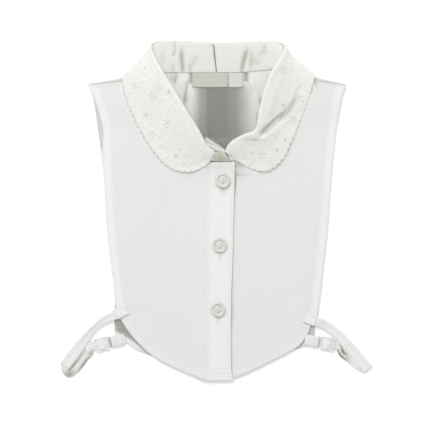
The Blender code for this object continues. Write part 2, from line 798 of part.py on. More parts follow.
def strap_heading(strap: Strap) -> np.ndarray:
    """The direction from the slider to the tab."""
    return unit(np.array(strap.tab) - np.array(strap.slider))


def strap_stations(strap: Strap) -> list[tuple[np.ndarray, np.ndarray]]:
    """Places along the strap's middle with the direction across it."""
    stations = []
    outward = smooth_route(strap.outward, 15)
    headings = np.gradient(outward, axis=0)
    for n, ((x, y), heading) in enumerate(zip(outward, headings)):
        fall = float(eased((n / (len(outward) - 1) - FALL_STARTS) / FALL_LENGTH))
        height = ON_FRONT * (1 - fall) + (FLOOR_LAYER + 2 * FOLD_RADIUS) * fall
        stations.append((np.array([x, y, height]), unit(np.array([-heading[1], heading[0], 0.0]))))
    tip, across = stations[-1]
    ahead = np.append(unit(headings[-1]), 0.0)
    centre = tip - np.array([0, 0, FOLD_RADIUS])
    for angle in np.radians(FOLD_ANGLES):
        turn = np.array([0, 0, FOLD_RADIUS * math.sin(angle)]) + FOLD_RADIUS * math.cos(angle) * ahead
        stations.append((centre + turn, across))
    heading = strap_heading(strap)
    slider = np.array(strap.slider)
    ends = [tuple(slider - heading * (FRAME_LENGTH + before)) for before in (4.0, 0.5)]
    inward = smooth_route(strap.back + ends, 14)
    headings = np.gradient(inward, axis=0)
    for (x, y), turned in zip(inward, headings):
        stations.append((np.array([x, y, FLOOR_LAYER]), unit(np.array([turned[1], -turned[0], 0.0]))))
    across = np.array([heading[1], -heading[0], 0.0])
    inner = BAR / 2 + SLOT + 0.2
    on_back = FLOOR_LAYER + LAYER
    run = float(np.linalg.norm(np.array(strap.tab) - slider))
    for along, height in (
        (-inner, FLOOR_LAYER),
        (-BAR * 0.4, OVER_BAR),
        (BAR * 0.4, OVER_BAR),
        (inner, FLOOR_LAYER),
        (FRAME_LENGTH + 0.4, FLOOR_LAYER),
        (run - TAB_REACH + TAIL, on_back),
        (run + TAIL, on_back),
    ):
        stations.append((np.array([*(slider + heading * along), height]), across))
    return stations


def strap_wall(strap: Strap) -> bpy.types.Object:
    """The elastic from the front, out to its fold, back through the slider and under the tab."""
    offsets = np.linspace(-0.5, 0.5, 3) * STRAP_WIDTH
    grid = [[middle + across * offset for offset in offsets] for middle, across in strap_stations(strap)]
    return wall(f"strap_{strap.side}", np.array(grid), ELASTIC)


def strap_patch(strap: Strap) -> bpy.types.Object:
    """The strap's turned end, box-stitched to the front."""
    stations = strap_stations(strap)[:3]
    rise = np.array([0, 0, LAYER])
    offsets = np.linspace(-0.5, 0.5, 3) * (STRAP_WIDTH + 2 * TAB_SIDE)
    grid = [[middle + across * offset + rise for offset in offsets] for middle, across in stations]
    return wall(f"patch_{strap.side}", np.array(grid), ELASTIC)


def back_tab(strap: Strap) -> bpy.types.Object:
    """The gathered tab of the back's hem that holds the strap's other end."""
    heading = strap_heading(strap)
    across = np.array([heading[1], -heading[0], 0.0])
    level = FLOOR_LAYER + 2 * LAYER
    offsets = np.linspace(-0.5, 0.5, 4) * (STRAP_WIDTH + 2 * TAB_SIDE)
    rows = []
    for along in np.linspace(-TAB_REACH, TAB_REACH, 7):
        middle = np.array([*(np.array(strap.tab) + heading * along), level])
        rows.append([middle + across * offset for offset in offsets])
    return wall(f"back_tab_{strap.side}", np.array(rows), POPLIN)


def slider(strap: Strap) -> bpy.types.Object:
    """A clear frame with a bar across its middle, which the strap passes under, over and under."""
    inside = STRAP_WIDTH / 2 + SLIDER_SIDE
    ahead = [0.5 * BAR, 0.5 * BAR + SLOT, FRAME_LENGTH]
    xs = [-x for x in reversed(ahead)] + ahead
    ys = [-inside - BAR, -inside, inside, inside + BAR]
    slots = [(1, 1), (3, 1)]
    shape = bmesh.new()
    floor = [[shape.verts.new((x * MM, y * MM, -BAR / 2 * MM)) for y in ys] for x in xs]
    faces = []
    for i in range(len(xs) - 1):
        for j in range(len(ys) - 1):
            if (i, j) in slots:
                continue
            corners = (floor[i][j], floor[i + 1][j], floor[i + 1][j + 1], floor[i][j + 1])
            faces.append(shape.faces.new(corners))
    raised = bmesh.ops.extrude_face_region(shape, geom=faces)["geom"]
    moved = [piece for piece in raised if isinstance(piece, bmesh.types.BMVert)]
    bmesh.ops.translate(shape, verts=moved, vec=(0, 0, BAR * MM))
    bmesh.ops.recalc_face_normals(shape, faces=shape.faces)
    name = f"slider_{strap.side}"
    mesh = bpy.data.meshes.new(name)
    shape.to_mesh(mesh)
    shape.free()
    mesh.materials.append(material_of(name, CLEAR))
    made = bpy.data.objects.new(name, mesh)
    heading = strap_heading(strap)
    made.location = (strap.slider[0] * MM, strap.slider[1] * MM, (CLOTH + GAP + BAR / 2) * MM)
    made.rotation_euler = (0, 0, math.atan2(heading[1], heading[0]))
    bpy.context.scene.collection.objects.link(made)
    softened = made.modifiers.new("softened", "BEVEL")
    softened.width = SLIDER_SOFTENING * MM
    softened.segments = 1
    return made


# Buttons and labels


def drill(name: str, x: float, y: float, z: float) -> bpy.types.Object:
    """A cutter for one of a button's holes, centred at the place."""
    depth = 3 * BUTTON_HEIGHT
    bpy.ops.mesh.primitive_cylinder_add(vertices=HOLE_SIDES, radius=HOLE_RADIUS * MM, depth=depth * MM)
    cutter = bpy.context.object
    cutter.name = name
    cutter.location = (x * MM, y * MM, z * MM)
    cutter.hide_render = True
    cutter.display_type = "WIRE"
    return cutter


def circle(radius: float, count: int) -> np.ndarray:
    """Evenly spaced x, y on a circle about nought."""
    angles = np.linspace(0, 2 * math.pi, count, endpoint=False)
    return radius * np.column_stack([np.cos(angles), np.sin(angles)])


def button_seat(x: float, y: float) -> float:
    """The height at which a button at the place clears the placket all round."""
    around = circle(BUTTON_RADIUS, 12) + (x, y)
    return max(placket_height(px, py) for px, py in around) + CLOTH / 2 + GAP


def button(place_name: str, x: float, y: float) -> bpy.types.Object:
    """A two-hole button with a raised rim, lying on the placket."""
    seat = button_seat(x, y)
    shape = bmesh.new()
    rings = []
    for turn in BUTTON_RINGS:
        level = turn.height * BUTTON_HEIGHT * MM
        outline = circle(turn.radius * BUTTON_RADIUS, BUTTON_SIDES) * MM
        rings.append([shape.verts.new((px, py, level)) for px, py in outline])
    for lower, upper in zip(rings, rings[1:]):
        for n in range(BUTTON_SIDES):
            m = (n + 1) % BUTTON_SIDES
            shape.faces.new((lower[n], lower[m], upper[m], upper[n]))
    shape.faces.new(list(reversed(rings[0])))
    shape.faces.new(rings[-1])
    bmesh.ops.recalc_face_normals(shape, faces=shape.faces)
    name = f"button_{place_name}"
    mesh = bpy.data.meshes.new(name)
    shape.to_mesh(mesh)
    shape.free()
    mesh.materials.append(material_of(name, PEARL))
    mesh.shade_smooth()
    mesh.set_sharp_from_angle(angle=math.radians(40))
    made = bpy.data.objects.new(name, mesh)
    made.location = (x * MM, y * MM, seat * MM)
    bpy.context.scene.collection.objects.link(made)
    for n, way in enumerate((-1, 1)):
        cutter = drill(f"drill_{place_name}_{n}", x, y + way * HOLE_OFFSET, seat + BUTTON_HEIGHT / 2)
        cut = made.modifiers.new(f"hole_{n}", "BOOLEAN")
        cut.operation = "DIFFERENCE"
        cut.object = cutter
    return made


def label_height(x, y):
    """Middle of a label's wall, one layer above the back panel."""
    return back_height(x, y) + LAYER


def tape(name: str, low_x: float, high_x: float) -> bpy.types.Object:
    """A blank woven label sewn in at the back neck."""
    rows = [straight((low_x, y), (high_x, y), 3) for y in np.linspace(TAPE_TOP_Y, TAPE_FOOT_Y, 3)]
    return wall(name, lifted(np.array(rows), label_height), LABEL_TAPE)


def clear_scene() -> None:
    """Remove what the scene starts with."""
    for thing in list(bpy.data.objects):
        bpy.data.objects.remove(thing)


def main() -> None:
    """Make every piece."""
    clear_scene()
    back_panel()
    right_front()
    left_front()
    placket()
    collar_half(RIGHT_HALF)
    collar_half(LEFT_HALF)
    neckband()
    for strap in (RIGHT_STRAP, LEFT_STRAP):
        strap_wall(strap)
        strap_patch(strap)
        back_tab(strap)
        slider(strap)
    for place_name, (x, y) in BUTTONS.items():
        button(place_name, x, y)
    tape("neck_label", *NECK_LABEL_X)
    tape("size_tag", *SIZE_TAG_X)


main()
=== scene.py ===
"""A child's collar dickey laid flat on its back, in white poplin with an embroidered scalloped collar.

X runs across the garment, Y from hem to collar and Z up from the surface it lies on. Places and sizes
are in millimetres until a mesh is made. The wearer's right is at -X.
"""

from __future__ import annotations

import logging
import math
from collections.abc import Callable, Iterable, Sequence
from dataclasses import dataclass, field
from enum import Enum
from typing import NamedTuple

import bmesh
import bpy
import numpy as np
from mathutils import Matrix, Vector
from mathutils.bvhtree import BVHTree

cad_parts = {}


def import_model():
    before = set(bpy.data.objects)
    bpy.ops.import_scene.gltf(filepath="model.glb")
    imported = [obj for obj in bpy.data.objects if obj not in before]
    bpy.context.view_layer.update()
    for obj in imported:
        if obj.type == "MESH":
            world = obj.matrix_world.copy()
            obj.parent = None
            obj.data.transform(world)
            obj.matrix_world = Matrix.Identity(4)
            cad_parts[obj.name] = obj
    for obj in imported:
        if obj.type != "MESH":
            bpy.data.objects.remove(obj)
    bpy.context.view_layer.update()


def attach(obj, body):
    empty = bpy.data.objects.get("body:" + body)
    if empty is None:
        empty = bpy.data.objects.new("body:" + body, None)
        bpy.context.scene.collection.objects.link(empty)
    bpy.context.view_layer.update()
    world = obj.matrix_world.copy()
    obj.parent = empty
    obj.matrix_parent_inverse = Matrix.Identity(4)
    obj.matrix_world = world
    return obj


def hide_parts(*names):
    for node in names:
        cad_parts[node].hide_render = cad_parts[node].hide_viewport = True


LOG = logging.getLogger("dickey")
MM = 0.001
Array = np.ndarray
Colour = tuple[float, float, float]
Spot = tuple[float, float]


class Key(NamedTuple):
    """One row of a curve: how far along it is, from 0 to 1, and its place."""

    share: float
    x: float
    y: float
    z: float = 0.0


class Fold(NamedTuple):
    """How the collar turns over at one share of the way round."""

    share: float
    facing: float  # degrees that the leaf's outside faces above the horizon
    radius: float  # of the roll's middle
    tilt: float  # rise of the roll towards its apex


# The roll line is where the collar turns over, from the centre back to the centre front.
RIGHT_ROLL = [
    Key(0.00, -0.7, 127.8, 1.3),
    Key(0.12, -18.2, 129.0, 1.3),
    Key(0.25, -34.2, 129.5, 1.8),
    Key(0.31, -41.8, 129.0, 3.0),
    Key(0.36, -46.8, 126.5, 4.8),
    Key(0.40, -46.9, 122.0, 6.8),
    Key(0.46, -43.8, 114.8, 9.2),
    Key(0.55, -36.8, 102.2, 12.0),
    Key(0.64, -28.2, 88.4, 14.0),
    Key(0.72, -19.6, 74.2, 14.5),
    Key(0.80, -11.4, 61.2, 13.5),
    Key(0.87, -7.2, 53.2, 12.0),
    Key(0.93, -3.8, 48.3, 10.5),
    Key(1.00, 0.4, 44.8, 9.0),
]
# The leaf's outer edge runs under the back panel, round the shoulder and down over the front.
RIGHT_EDGE = [
    Key(0.00, -3.8, 93.5, 0.5),
    Key(0.12, -25.1, 93.1, 0.5),
    Key(0.25, -48.6, 93.1, 0.5),
    Key(0.32, -61.2, 96.1, 0.5),
    Key(0.345, -66.3, 101.5, 1.0),
    Key(0.36, -68.0, 104.4, 2.8),
    Key(0.375, -69.6, 102.3, 4.9),
    Key(0.40, -69.3, 97.7, 5.3),
    Key(0.46, -69.0, 93.0, 5.0),
    Key(0.55, -65.2, 80.0, 4.3),
    Key(0.64, -58.8, 66.7, 3.6),
    Key(0.72, -51.0, 53.0, 3.5),
    Key(0.80, -40.8, 39.2, 3.5),
    Key(0.87, -30.0, 31.6, 3.6),
    Key(0.93, -17.5, 30.2, 4.5),
    Key(0.97, -6.1, 35.0, 6.4),
    Key(1.00, 0.6, 42.9, 7.6),
]
# The neck seam: along the back panel, past the shoulder and down the front's neck edge.
RIGHT_SEAM = [
    Key(0.00, 1.6, 105.3),
    Key(0.12, -16.0, 105.3),
    Key(0.25, -33.4, 105.3),
    Key(0.31, -41.4, 105.2),
    Key(0.36, -47.9, 104.5),
    Key(0.40, -50.9, 101.8),
    Key(0.46, -50.9, 95.0),
    Key(0.55, -47.5, 83.6),
    Key(0.64, -41.0, 72.2),
    Key(0.72, -33.1, 61.2),
    Key(0.80, -23.9, 51.3),
    Key(0.87, -15.2, 44.1),
    Key(0.93, -7.6, 39.9),
    Key(1.00, -0.3, 38.0),
]
LEFT_ROLL = [
    Key(0.00, 0.1, 127.8, 1.3),
    Key(0.12, 18.2, 128.2, 1.3),
    Key(0.25, 36.5, 128.8, 1.8),
    Key(0.31, 47.1, 128.6, 3.0),
    Key(0.36, 53.0, 125.8, 4.8),
    Key(0.40, 52.8, 121.0, 6.8),
    Key(0.46, 49.6, 114.8, 9.2),
    Key(0.55, 43.4, 104.9, 11.8),
    Key(0.64, 38.0, 90.4, 14.0),
    Key(0.72, 34.2, 74.5, 13.5),
    Key(0.80, 31.2, 61.6, 12.0),
    Key(0.87, 22.8, 57.8, 11.3),
    Key(0.93, 14.4, 53.4, 10.4),
    Key(0.97, 10.3, 49.0, 9.6),
    Key(1.00, 8.6, 44.8, 9.0),
]
LEFT_EDGE = [
    Key(0.00, 3.8, 93.5, 0.5),
    Key(0.12, 25.1, 93.1, 0.5),
    Key(0.25, 53.2, 93.5, 0.5),
    Key(0.32, 66.9, 96.1, 0.5),
    Key(0.345, 72.9, 101.8, 1.0),
    Key(0.36, 74.8, 104.8, 2.8),
    Key(0.375, 76.1, 102.4, 4.9),
    Key(0.40, 75.2, 97.7, 5.3),
    Key(0.46, 73.4, 91.2, 4.9),
    Key(0.55, 69.8, 79.8, 4.1),
    Key(0.64, 64.8, 66.9, 3.6),
    Key(0.72, 58.8, 53.2, 3.5),
    Key(0.80, 52.4, 39.9, 3.6),
    Key(0.87, 41.0, 30.9, 4.0),
    Key(0.93, 28.9, 32.2, 4.0),
    Key(0.97, 18.6, 37.6, 5.0),
    Key(1.00, 12.1, 43.3, 7.0),
]
LEFT_SEAM = [
    Key(0.00, 2.3, 105.3),
    Key(0.12, 19.8, 105.5),
    Key(0.25, 38.0, 107.0),
    Key(0.31, 46.4, 108.0),
    Key(0.36, 52.8, 107.0),
    Key(0.40, 56.6, 103.7),
    Key(0.46, 57.0, 95.8),
    Key(0.55, 55.5, 84.4),
    Key(0.64, 50.9, 71.4),
    Key(0.72, 44.5, 60.8),
    Key(0.80, 36.1, 51.7),
    Key(0.87, 27.4, 44.8),
    Key(0.93, 19.8, 40.3),
    Key(0.97, 15.2, 38.4),
    Key(1.00, 12.6, 38.0),
]
FOLDS = [
    Fold(0.00, -90, 0.8, 0.00),
    Fold(0.20, -90, 0.8, 0.00),
    Fold(0.28, -72, 1.0, 0.00),
    Fold(0.33, -35, 1.3, 0.05),
    Fold(0.36, 0, 1.5, 0.20),
    Fold(0.40, 45, 1.6, 0.30),
    Fold(0.46, 75, 1.6, 0.35),
    Fold(0.55, 90, 1.6, 0.35),
    Fold(0.93, 90, 1.4, 0.35),
    Fold(1.00, 90, 1.1, 0.35),
]
# Outlines of the panels, top to bottom or side to centre
BACK_RIGHT_SIDE = [
    Key(0.00, -95.5, 96.5),
    Key(0.06, -91.5, 85.3),
    Key(0.16, -88.5, 64.6),
    Key(0.26, -86.1, 46.4),
    Key(0.39, -83.6, 22.0),
    Key(0.54, -81.9, -8.0),
    Key(0.69, -78.8, -38.0),
    Key(0.82, -75.8, -62.3),
    Key(0.93, -75.5, -82.8),
    Key(1.00, -75.6, -95.4),
]
FRONT_RIGHT_SIDE = [
    Key(0.00, -95.5, 96.5),
    Key(0.07, -90.8, 85.3),
    Key(0.14, -86.8, 73.0),
    Key(0.22, -84.1, 60.0),
    Key(0.28, -84.4, 49.4),
    Key(0.44, -83.3, 22.0),
    Key(0.62, -81.5, -8.0),
    Key(0.80, -78.5, -38.0),
    Key(0.94, -75.6, -62.3),
    Key(1.00, -75.0, -71.8),
]
BACK_LEFT_SIDE = [
    Key(0.00, 100.3, 96.1),
    Key(0.04, 97.3, 88.2),
    Key(0.13, 94.2, 70.7),
    Key(0.23, 91.7, 51.7),
    Key(0.36, 89.2, 26.6),
    Key(0.48, 87.4, 1.5),
    Key(0.61, 85.4, -23.6),
    Key(0.72, 82.8, -46.4),
    Key(0.83, 80.4, -68.0),
    Key(0.89, 79.0, -79.0),
    Key(0.93, 76.8, -87.4),
    Key(1.00, 75.8, -101.8),
]
FRONT_LEFT_SIDE = [
    Key(0.00, 100.3, 96.1),
    Key(0.05, 97.3, 88.2),
    Key(0.14, 94.2, 70.7),
    Key(0.25, 91.7, 51.7),
    Key(0.39, 89.2, 26.6),
    Key(0.53, 87.4, 1.5),
    Key(0.67, 85.4, -23.6),
    Key(0.80, 82.8, -46.4),
    Key(0.92, 80.4, -68.0),
    Key(1.00, 78.4, -80.5),
]
FRONT_RIGHT_HEM = [
    Key(0.00, -75.0, -71.8),
    Key(0.12, -71.0, -82.1),
    Key(0.29, -61.8, -95.8),
    Key(0.50, -47.1, -109.9),
    Key(0.73, -28.9, -120.1),
    Key(0.96, -8.4, -128.4),
    Key(1.00, -5.2, -129.2),
]
FRONT_LEFT_HEM = [
    Key(0.00, 78.4, -80.5),
    Key(0.06, 73.7, -87.0),
    Key(0.13, 71.4, -93.5),
    Key(0.26, 63.5, -103.4),
    Key(0.49, 43.2, -114.5),
    Key(0.79, 16.7, -126.5),
    Key(1.00, -3.4, -129.2),
]
BACK_HEM = [
    Key(0.00, -75.6, -95.4),
    Key(0.06, -66.3, -100.8),
    Key(0.11, -59.3, -105.6),
    Key(0.18, -49.0, -109.4),
    Key(0.31, -28.9, -118.2),
    Key(0.43, -8.4, -125.4),
    Key(0.50, 3.0, -126.8),
    Key(0.60, 16.7, -124.5),
    Key(0.78, 43.2, -113.0),
    Key(0.91, 63.1, -104.8),
    Key(0.95, 68.4, -103.3),
    Key(1.00, 75.8, -101.8),
]
PLACKET_EDGE = [
    Key(0.00, 15.6, 37.0),
    Key(0.14, 15.2, 13.7),
    Key(0.30, 14.4, -12.0),
    Key(0.46, 13.9, -38.8),
    Key(0.64, 12.8, -67.6),
    Key(0.92, 12.9, -119.3),
    Key(1.00, 14.6, -128.6),
]
# Strap routes from the box stitching on the front to the fold at the far end, then back
RIGHT_OUTWARD = [
    (-66.5, -74.6),
    (-77.1, -79.9),
    (-84.8, -83.8),
    (-93.2, -91.2),
    (-101.7, -102.2),
    (-109.4, -112.0),
    (-113.4, -117.6),
]
RIGHT_RETURN = [(-113.4, -117.6), (-113.2, -121.4), (-110.8, -124.0), (-106.8, -121.6), (-102.6, -116.8), (-98.6, -111.4), (-94.6, -107.0)]
RIGHT_SLIDER = (-85.3, -101.2)
RIGHT_TAB = (-72.9, -98.4)
LEFT_OUTWARD = [
    (68.8, -80.5),
    (79.0, -84.4),
    (85.9, -87.6),
    (92.8, -92.6),
    (101.6, -101.6),
    (108.6, -110.0),
    (117.0, -120.2),
]
LEFT_RETURN = [(117.0, -120.2), (110.4, -117.4), (104.0, -112.4), (98.0, -107.8)]
LEFT_SLIDER = (86.4, -100.9)
LEFT_TAB = (74.3, -98.6)


# Curves and places


def eased(value: Array | float) -> Array:
    """Go from nought to one with soft ends.

    Args:
        value: Places along the step, 0 at its start and 1 at its end.

    Returns:
        The step's height at each place.
    """
    value = np.clip(value, 0.0, 1.0)
    return value * value * (3.0 - 2.0 * value)


def unit(vector: Array) -> Array:
    """The vectors at length one, along the last axis."""
    return vector / np.maximum(np.linalg.norm(vector, axis=-1, keepdims=True), 1e-9)


def curve_at(keys: Sequence[Key], shares: Array | float) -> Array:
    """Follow a smooth curve through the keys.

    Args:
        keys: The curve's rows, in order of share.
        shares: Where on the curve, from 0 to 1.

    Returns:
        Rows of x, y, z, one for each share.
    """
    knots = np.array([key.share for key in keys])
    points = np.array([[key.x, key.y, key.z] for key in keys])
    slopes = np.empty_like(points)
    slopes[1:-1] = (points[2:] - points[:-2]) / (knots[2:] - knots[:-2])[:, None]
    slopes[0] = (points[1] - points[0]) / (knots[1] - knots[0])
    slopes[-1] = (points[-1] - points[-2]) / (knots[-1] - knots[-2])
    shares = np.clip(np.atleast_1d(shares), knots[0], knots[-1])
    place = np.clip(np.searchsorted(knots, shares, side="right") - 1, 0, len(knots) - 2)
    span = (knots[place + 1] - knots[place])[:, None]
    u = (shares - knots[place])[:, None] / span
    return (
        (2 * u**3 - 3 * u**2 + 1) * points[place]
        + (u**3 - 2 * u**2 + u) * span * slopes[place]
        + (3 * u**2 - 2 * u**3) * points[place + 1]
        + (u**3 - u**2) * span * slopes[place + 1]
    )


def beside(keys: Sequence[Key], shares: Array, away: float) -> Array:
    """Run beside a curve at a distance.

    Args:
        keys: The curve.
        shares: Where on it.
        away: How far to the right of its heading; negative is to the left.

    Returns:
        Rows of x, y.
    """
    step = 1e-3
    heading = unit((curve_at(keys, shares + step) - curve_at(keys, shares - step))[:, :2])
    return curve_at(keys, shares)[:, :2] + away * np.column_stack([heading[:, 1], -heading[:, 0]])


def nearest(points: Array, x: Array, y: Array) -> Array:
    """Measure how far places are from a line of points.

    Args:
        points: Rows of x, y close together on the line.
        x: Places across.
        y: Places along.

    Returns:
        The distance to the nearest point, in the shape of x.
    """
    x, y = np.broadcast_arrays(np.asarray(x, dtype=float), np.asarray(y, dtype=float))
    places = np.column_stack([x.ravel(), y.ravel()])
    away = np.empty(len(places))
    for start in range(0, len(places), 4000):
        gaps = places[start : start + 4000, None, :] - points[None]
        away[start : start + 4000] = np.sqrt((gaps**2).sum(axis=2).min(axis=1))
    return away.reshape(x.shape)


def evenly(line: Array, pitch: float) -> Array:
    """Space places evenly along a line.

    Args:
        line: Rows of x, y or of x, y, z.
        pitch: About how far apart the places are.

    Returns:
        The places, both ends included.
    """
    lengths = np.concatenate([[0], np.cumsum(np.linalg.norm(np.diff(line, axis=0), axis=1))])
    count = max(2, round(lengths[-1] / pitch) + 1)
    wanted = np.linspace(0, lengths[-1], count)
    return np.column_stack([np.interp(wanted, lengths, line[:, n]) for n in range(line.shape[1])])


@dataclass(frozen=True)
class Crease:
    """A soft ridge, or a trough where its rise is negative, along a slightly bowed line."""

    start: Spot
    end: Spot
    rise: float
    half_width: float
    bow: float = 0.0

    def at(self, x: Array, y: Array) -> Array:
        """Its height at places.

        Args:
            x: Places across.
            y: Places along.

        Returns:
            The rise there, nought away from the crease.
        """
        start, end = np.array(self.start), np.array(self.end)
        run = end - start
        length = float(np.linalg.norm(run))
        along = ((x - start[0]) * run[0] + (y - start[1]) * run[1]) / length**2
        away = ((x - start[0]) * run[1] - (y - start[1]) * run[0]) / length
        away = away - self.bow * (1.0 - (2.0 * along - 1.0) ** 2)
        fading = eased(along / 0.35 + 0.15) * eased((1.0 - along) / 0.35 + 0.15)
        return self.rise * np.exp(-1.2 * (away / self.half_width) ** 2) * fading


def relief(creases: Iterable[Crease], x: Array, y: Array) -> Array:
    """Add up creases.

    Args:
        creases: The ridges and troughs.
        x: Places across.
        y: Places along.

    Returns:
        Their height together at each place.
    """
    rise = np.zeros(np.shape(x))
    for crease in creases:
        rise = rise + crease.at(x, y)
    return rise


@dataclass(frozen=True)
class Layers:
    """Heights of the middle of each layer of cloth above the surface the garment lies on."""

    lowest: float = 0.5
    step: float = 1.3  # from one layer to the next
    leaf_lift: float = 1.6  # the back rides higher where the collar leaf is under it
    lift_starts_y: float = 57.8
    lift_ends_y: float = 88.2
    neck_rise: float = 2.0  # the fronts are pulled up beside the collar
    neck_reach: float = 22.0
    shoulder_y: float = 99.0
    full_rise_y: float = 84.0
    overlap_starts_x: float = -17.0  # the right front climbs onto the left front here
    overlap_ends_x: float = -7.5
    placket_ease: float = 0.2
    ease_starts_y: float = -5.0
    ease_length: float = 20.0

    def neck_line(self) -> Array:
        """The neck seam of both fronts as close rows of x, y."""
        right = curve_at(RIGHT_SEAM, np.linspace(0.42, 1.0, 160))[:, :2]
        left = curve_at(LEFT_SEAM, np.linspace(1.0, 0.42, 160))[:, :2]
        return np.vstack([right, left])

    def back(self, x: Array, y: Array) -> Array:
        """Middle of the back."""
        return self.lowest + self.leaf_lift * eased((y - self.lift_starts_y) / (self.lift_ends_y - self.lift_starts_y)) + 0 * x

    def rise(self, x: Array, y: Array) -> Array:
        """How much the collar pulls the fronts up."""
        near = 1.0 - eased(nearest(self.neck_line(), x, y) / self.neck_reach)
        return self.neck_rise * near * eased((self.shoulder_y - y) / (self.shoulder_y - self.full_rise_y))

    def left_front(self, x: Array, y: Array) -> Array:
        """Middle of the left front, which lies on the back."""
        return self.back(x, y) + self.step + self.rise(x, y)

    def right_front(self, x: Array, y: Array) -> Array:
        """Middle of the right front, which climbs onto the left front before the centre."""
        climb = eased((x - self.overlap_starts_x) / (self.overlap_ends_x - self.overlap_starts_x))
        return self.left_front(x, y) + self.step * climb

    def placket(self, x: Array, y: Array) -> Array:
        """Middle of the placket."""
        ease = self.placket_ease * eased((y - self.ease_starts_y) / self.ease_length)
        return self.left_front(x, y) + self.step + ease


# Shaders


class Wire:
    """A shader value that takes part in arithmetic."""

    def __init__(self, tree: bpy.types.NodeTree, socket: bpy.types.NodeSocket) -> None:
        """Hold the socket and the tree it is in."""
        self.tree = tree
        self.socket = socket

    def math(self, operation: str, *values: Wire | float) -> Wire:
        """Add a Math node.

        Args:
            operation: The node's operation.
            values: What it works on, in order.

        Returns:
            The node's result.
        """
        node = self.tree.nodes.new("ShaderNodeMath")
        node.operation = operation
        for socket, value in zip(node.inputs, values):
            if isinstance(value, Wire):
                self.tree.links.new(value.socket, socket)
            else:
                socket.default_value = value
        return Wire(self.tree, node.outputs[0])

    def __add__(self, other: Wire | float) -> Wire:
        """This plus another."""
        return self.math("ADD", self, other)

    def __radd__(self, other: Wire | float) -> Wire:
        """Another plus this."""
        return self.math("ADD", other, self)

    def __sub__(self, other: Wire | float) -> Wire:
        """This less another."""
        return self.math("SUBTRACT", self, other)

    def __rsub__(self, other: Wire | float) -> Wire:
        """Another less this."""
        return self.math("SUBTRACT", other, self)

    def __mul__(self, other: Wire | float) -> Wire:
        """This times another."""
        return self.math("MULTIPLY", self, other)

    def __rmul__(self, other: Wire | float) -> Wire:
        """Another times this."""
        return self.math("MULTIPLY", other, self)

    def sine(self) -> Wire:
        """Its sine."""
        return self.math("SINE", self)

    def size(self) -> Wire:
        """Its value without its sign."""
        return self.math("ABSOLUTE", self)


class Graph:
    """The nodes of one material."""

    def __init__(self, name: str) -> None:
        """Start a material with only its Principled shader."""
        self.material = bpy.data.materials.new(name)
        self.material.use_nodes = True
        self.tree = self.material.node_tree
        self.shader = self.tree.nodes["Principled BSDF"]

    def feed(self, socket: bpy.types.NodeSocket, value: object) -> None:
        """Link a wire to a socket, or set its value."""
        if isinstance(value, Wire):
            self.tree.links.new(value.socket, socket)
        else:
            socket.default_value = value

    def node(self, kind: str, settings: dict[str, object], sockets: dict[str | int, object], output: str | int = 0) -> Wire:
        """Add any other node.

        Args:
            kind: The node's type.
            settings: What is set on the node first.
            sockets: Values or wires for its inputs, by name or place.
            output: Which result to give back.

        Returns:
            The node's result.
        """
        made = self.tree.nodes.new(kind)
        for name, value in settings.items():
            setattr(made, name, value)
        for name, value in sockets.items():
            self.feed(made.inputs[name], value)
        return Wire(self.tree, made.outputs[output])

    def mixed(self, factor: Wire, first: Colour | Wire, second: Colour | Wire) -> Wire:
        """Blend two colours.

        Args:
            factor: 0 for the first, 1 for the second.
            first: The first colour.
            second: The second colour.

        Returns:
            The blended colour.
        """
        ends = [value if isinstance(value, Wire) else (*value, 1.0) for value in (first, second)]
        settings = {"data_type": "RGBA", "clamp_factor": True}
        return self.node("ShaderNodeMix", settings, {0: factor, 6: ends[0], 7: ends[1]}, 2)

    def place(self) -> tuple[Wire, Wire, Wire, Wire]:
        """The place on the object as x, y, z in millimetres, and as a vector in metres."""
        where = self.node("ShaderNodeTexCoord", {}, {}, "Object")
        split = self.tree.nodes.new("ShaderNodeSeparateXYZ")
        self.tree.links.new(where.socket, split.inputs[0])
        x, y, z = (Wire(self.tree, socket) * 1000.0 for socket in split.outputs)
        return x, y, z, where

    def noise(self, where: Wire, scale: float, detail: float = 2.0) -> Wire:
        """Soft noise, 0 to 1, with so many waves to the metre."""
        return self.node("ShaderNodeTexNoise", {}, {"Vector": where, "Scale": scale, "Detail": detail}, "Fac")

    def attribute(self, name: str) -> Wire:
        """A number stored on the mesh's points."""
        return self.node("ShaderNodeAttribute", {"attribute_name": name}, {}, "Fac")

    def set(self, name: str, value: object) -> None:
        """Set or link one socket of the shader."""
        self.feed(self.shader.inputs[name], value)

    def bump(self, height: Wire, distance: float, strength: float = 1.0) -> None:
        """Give the shader a bumpy surface, its distance in millimetres."""
        sockets = {"Strength": strength, "Distance": distance * MM, "Height": height}
        self.set("Normal", self.node("ShaderNodeBump", {}, sockets, "Normal"))


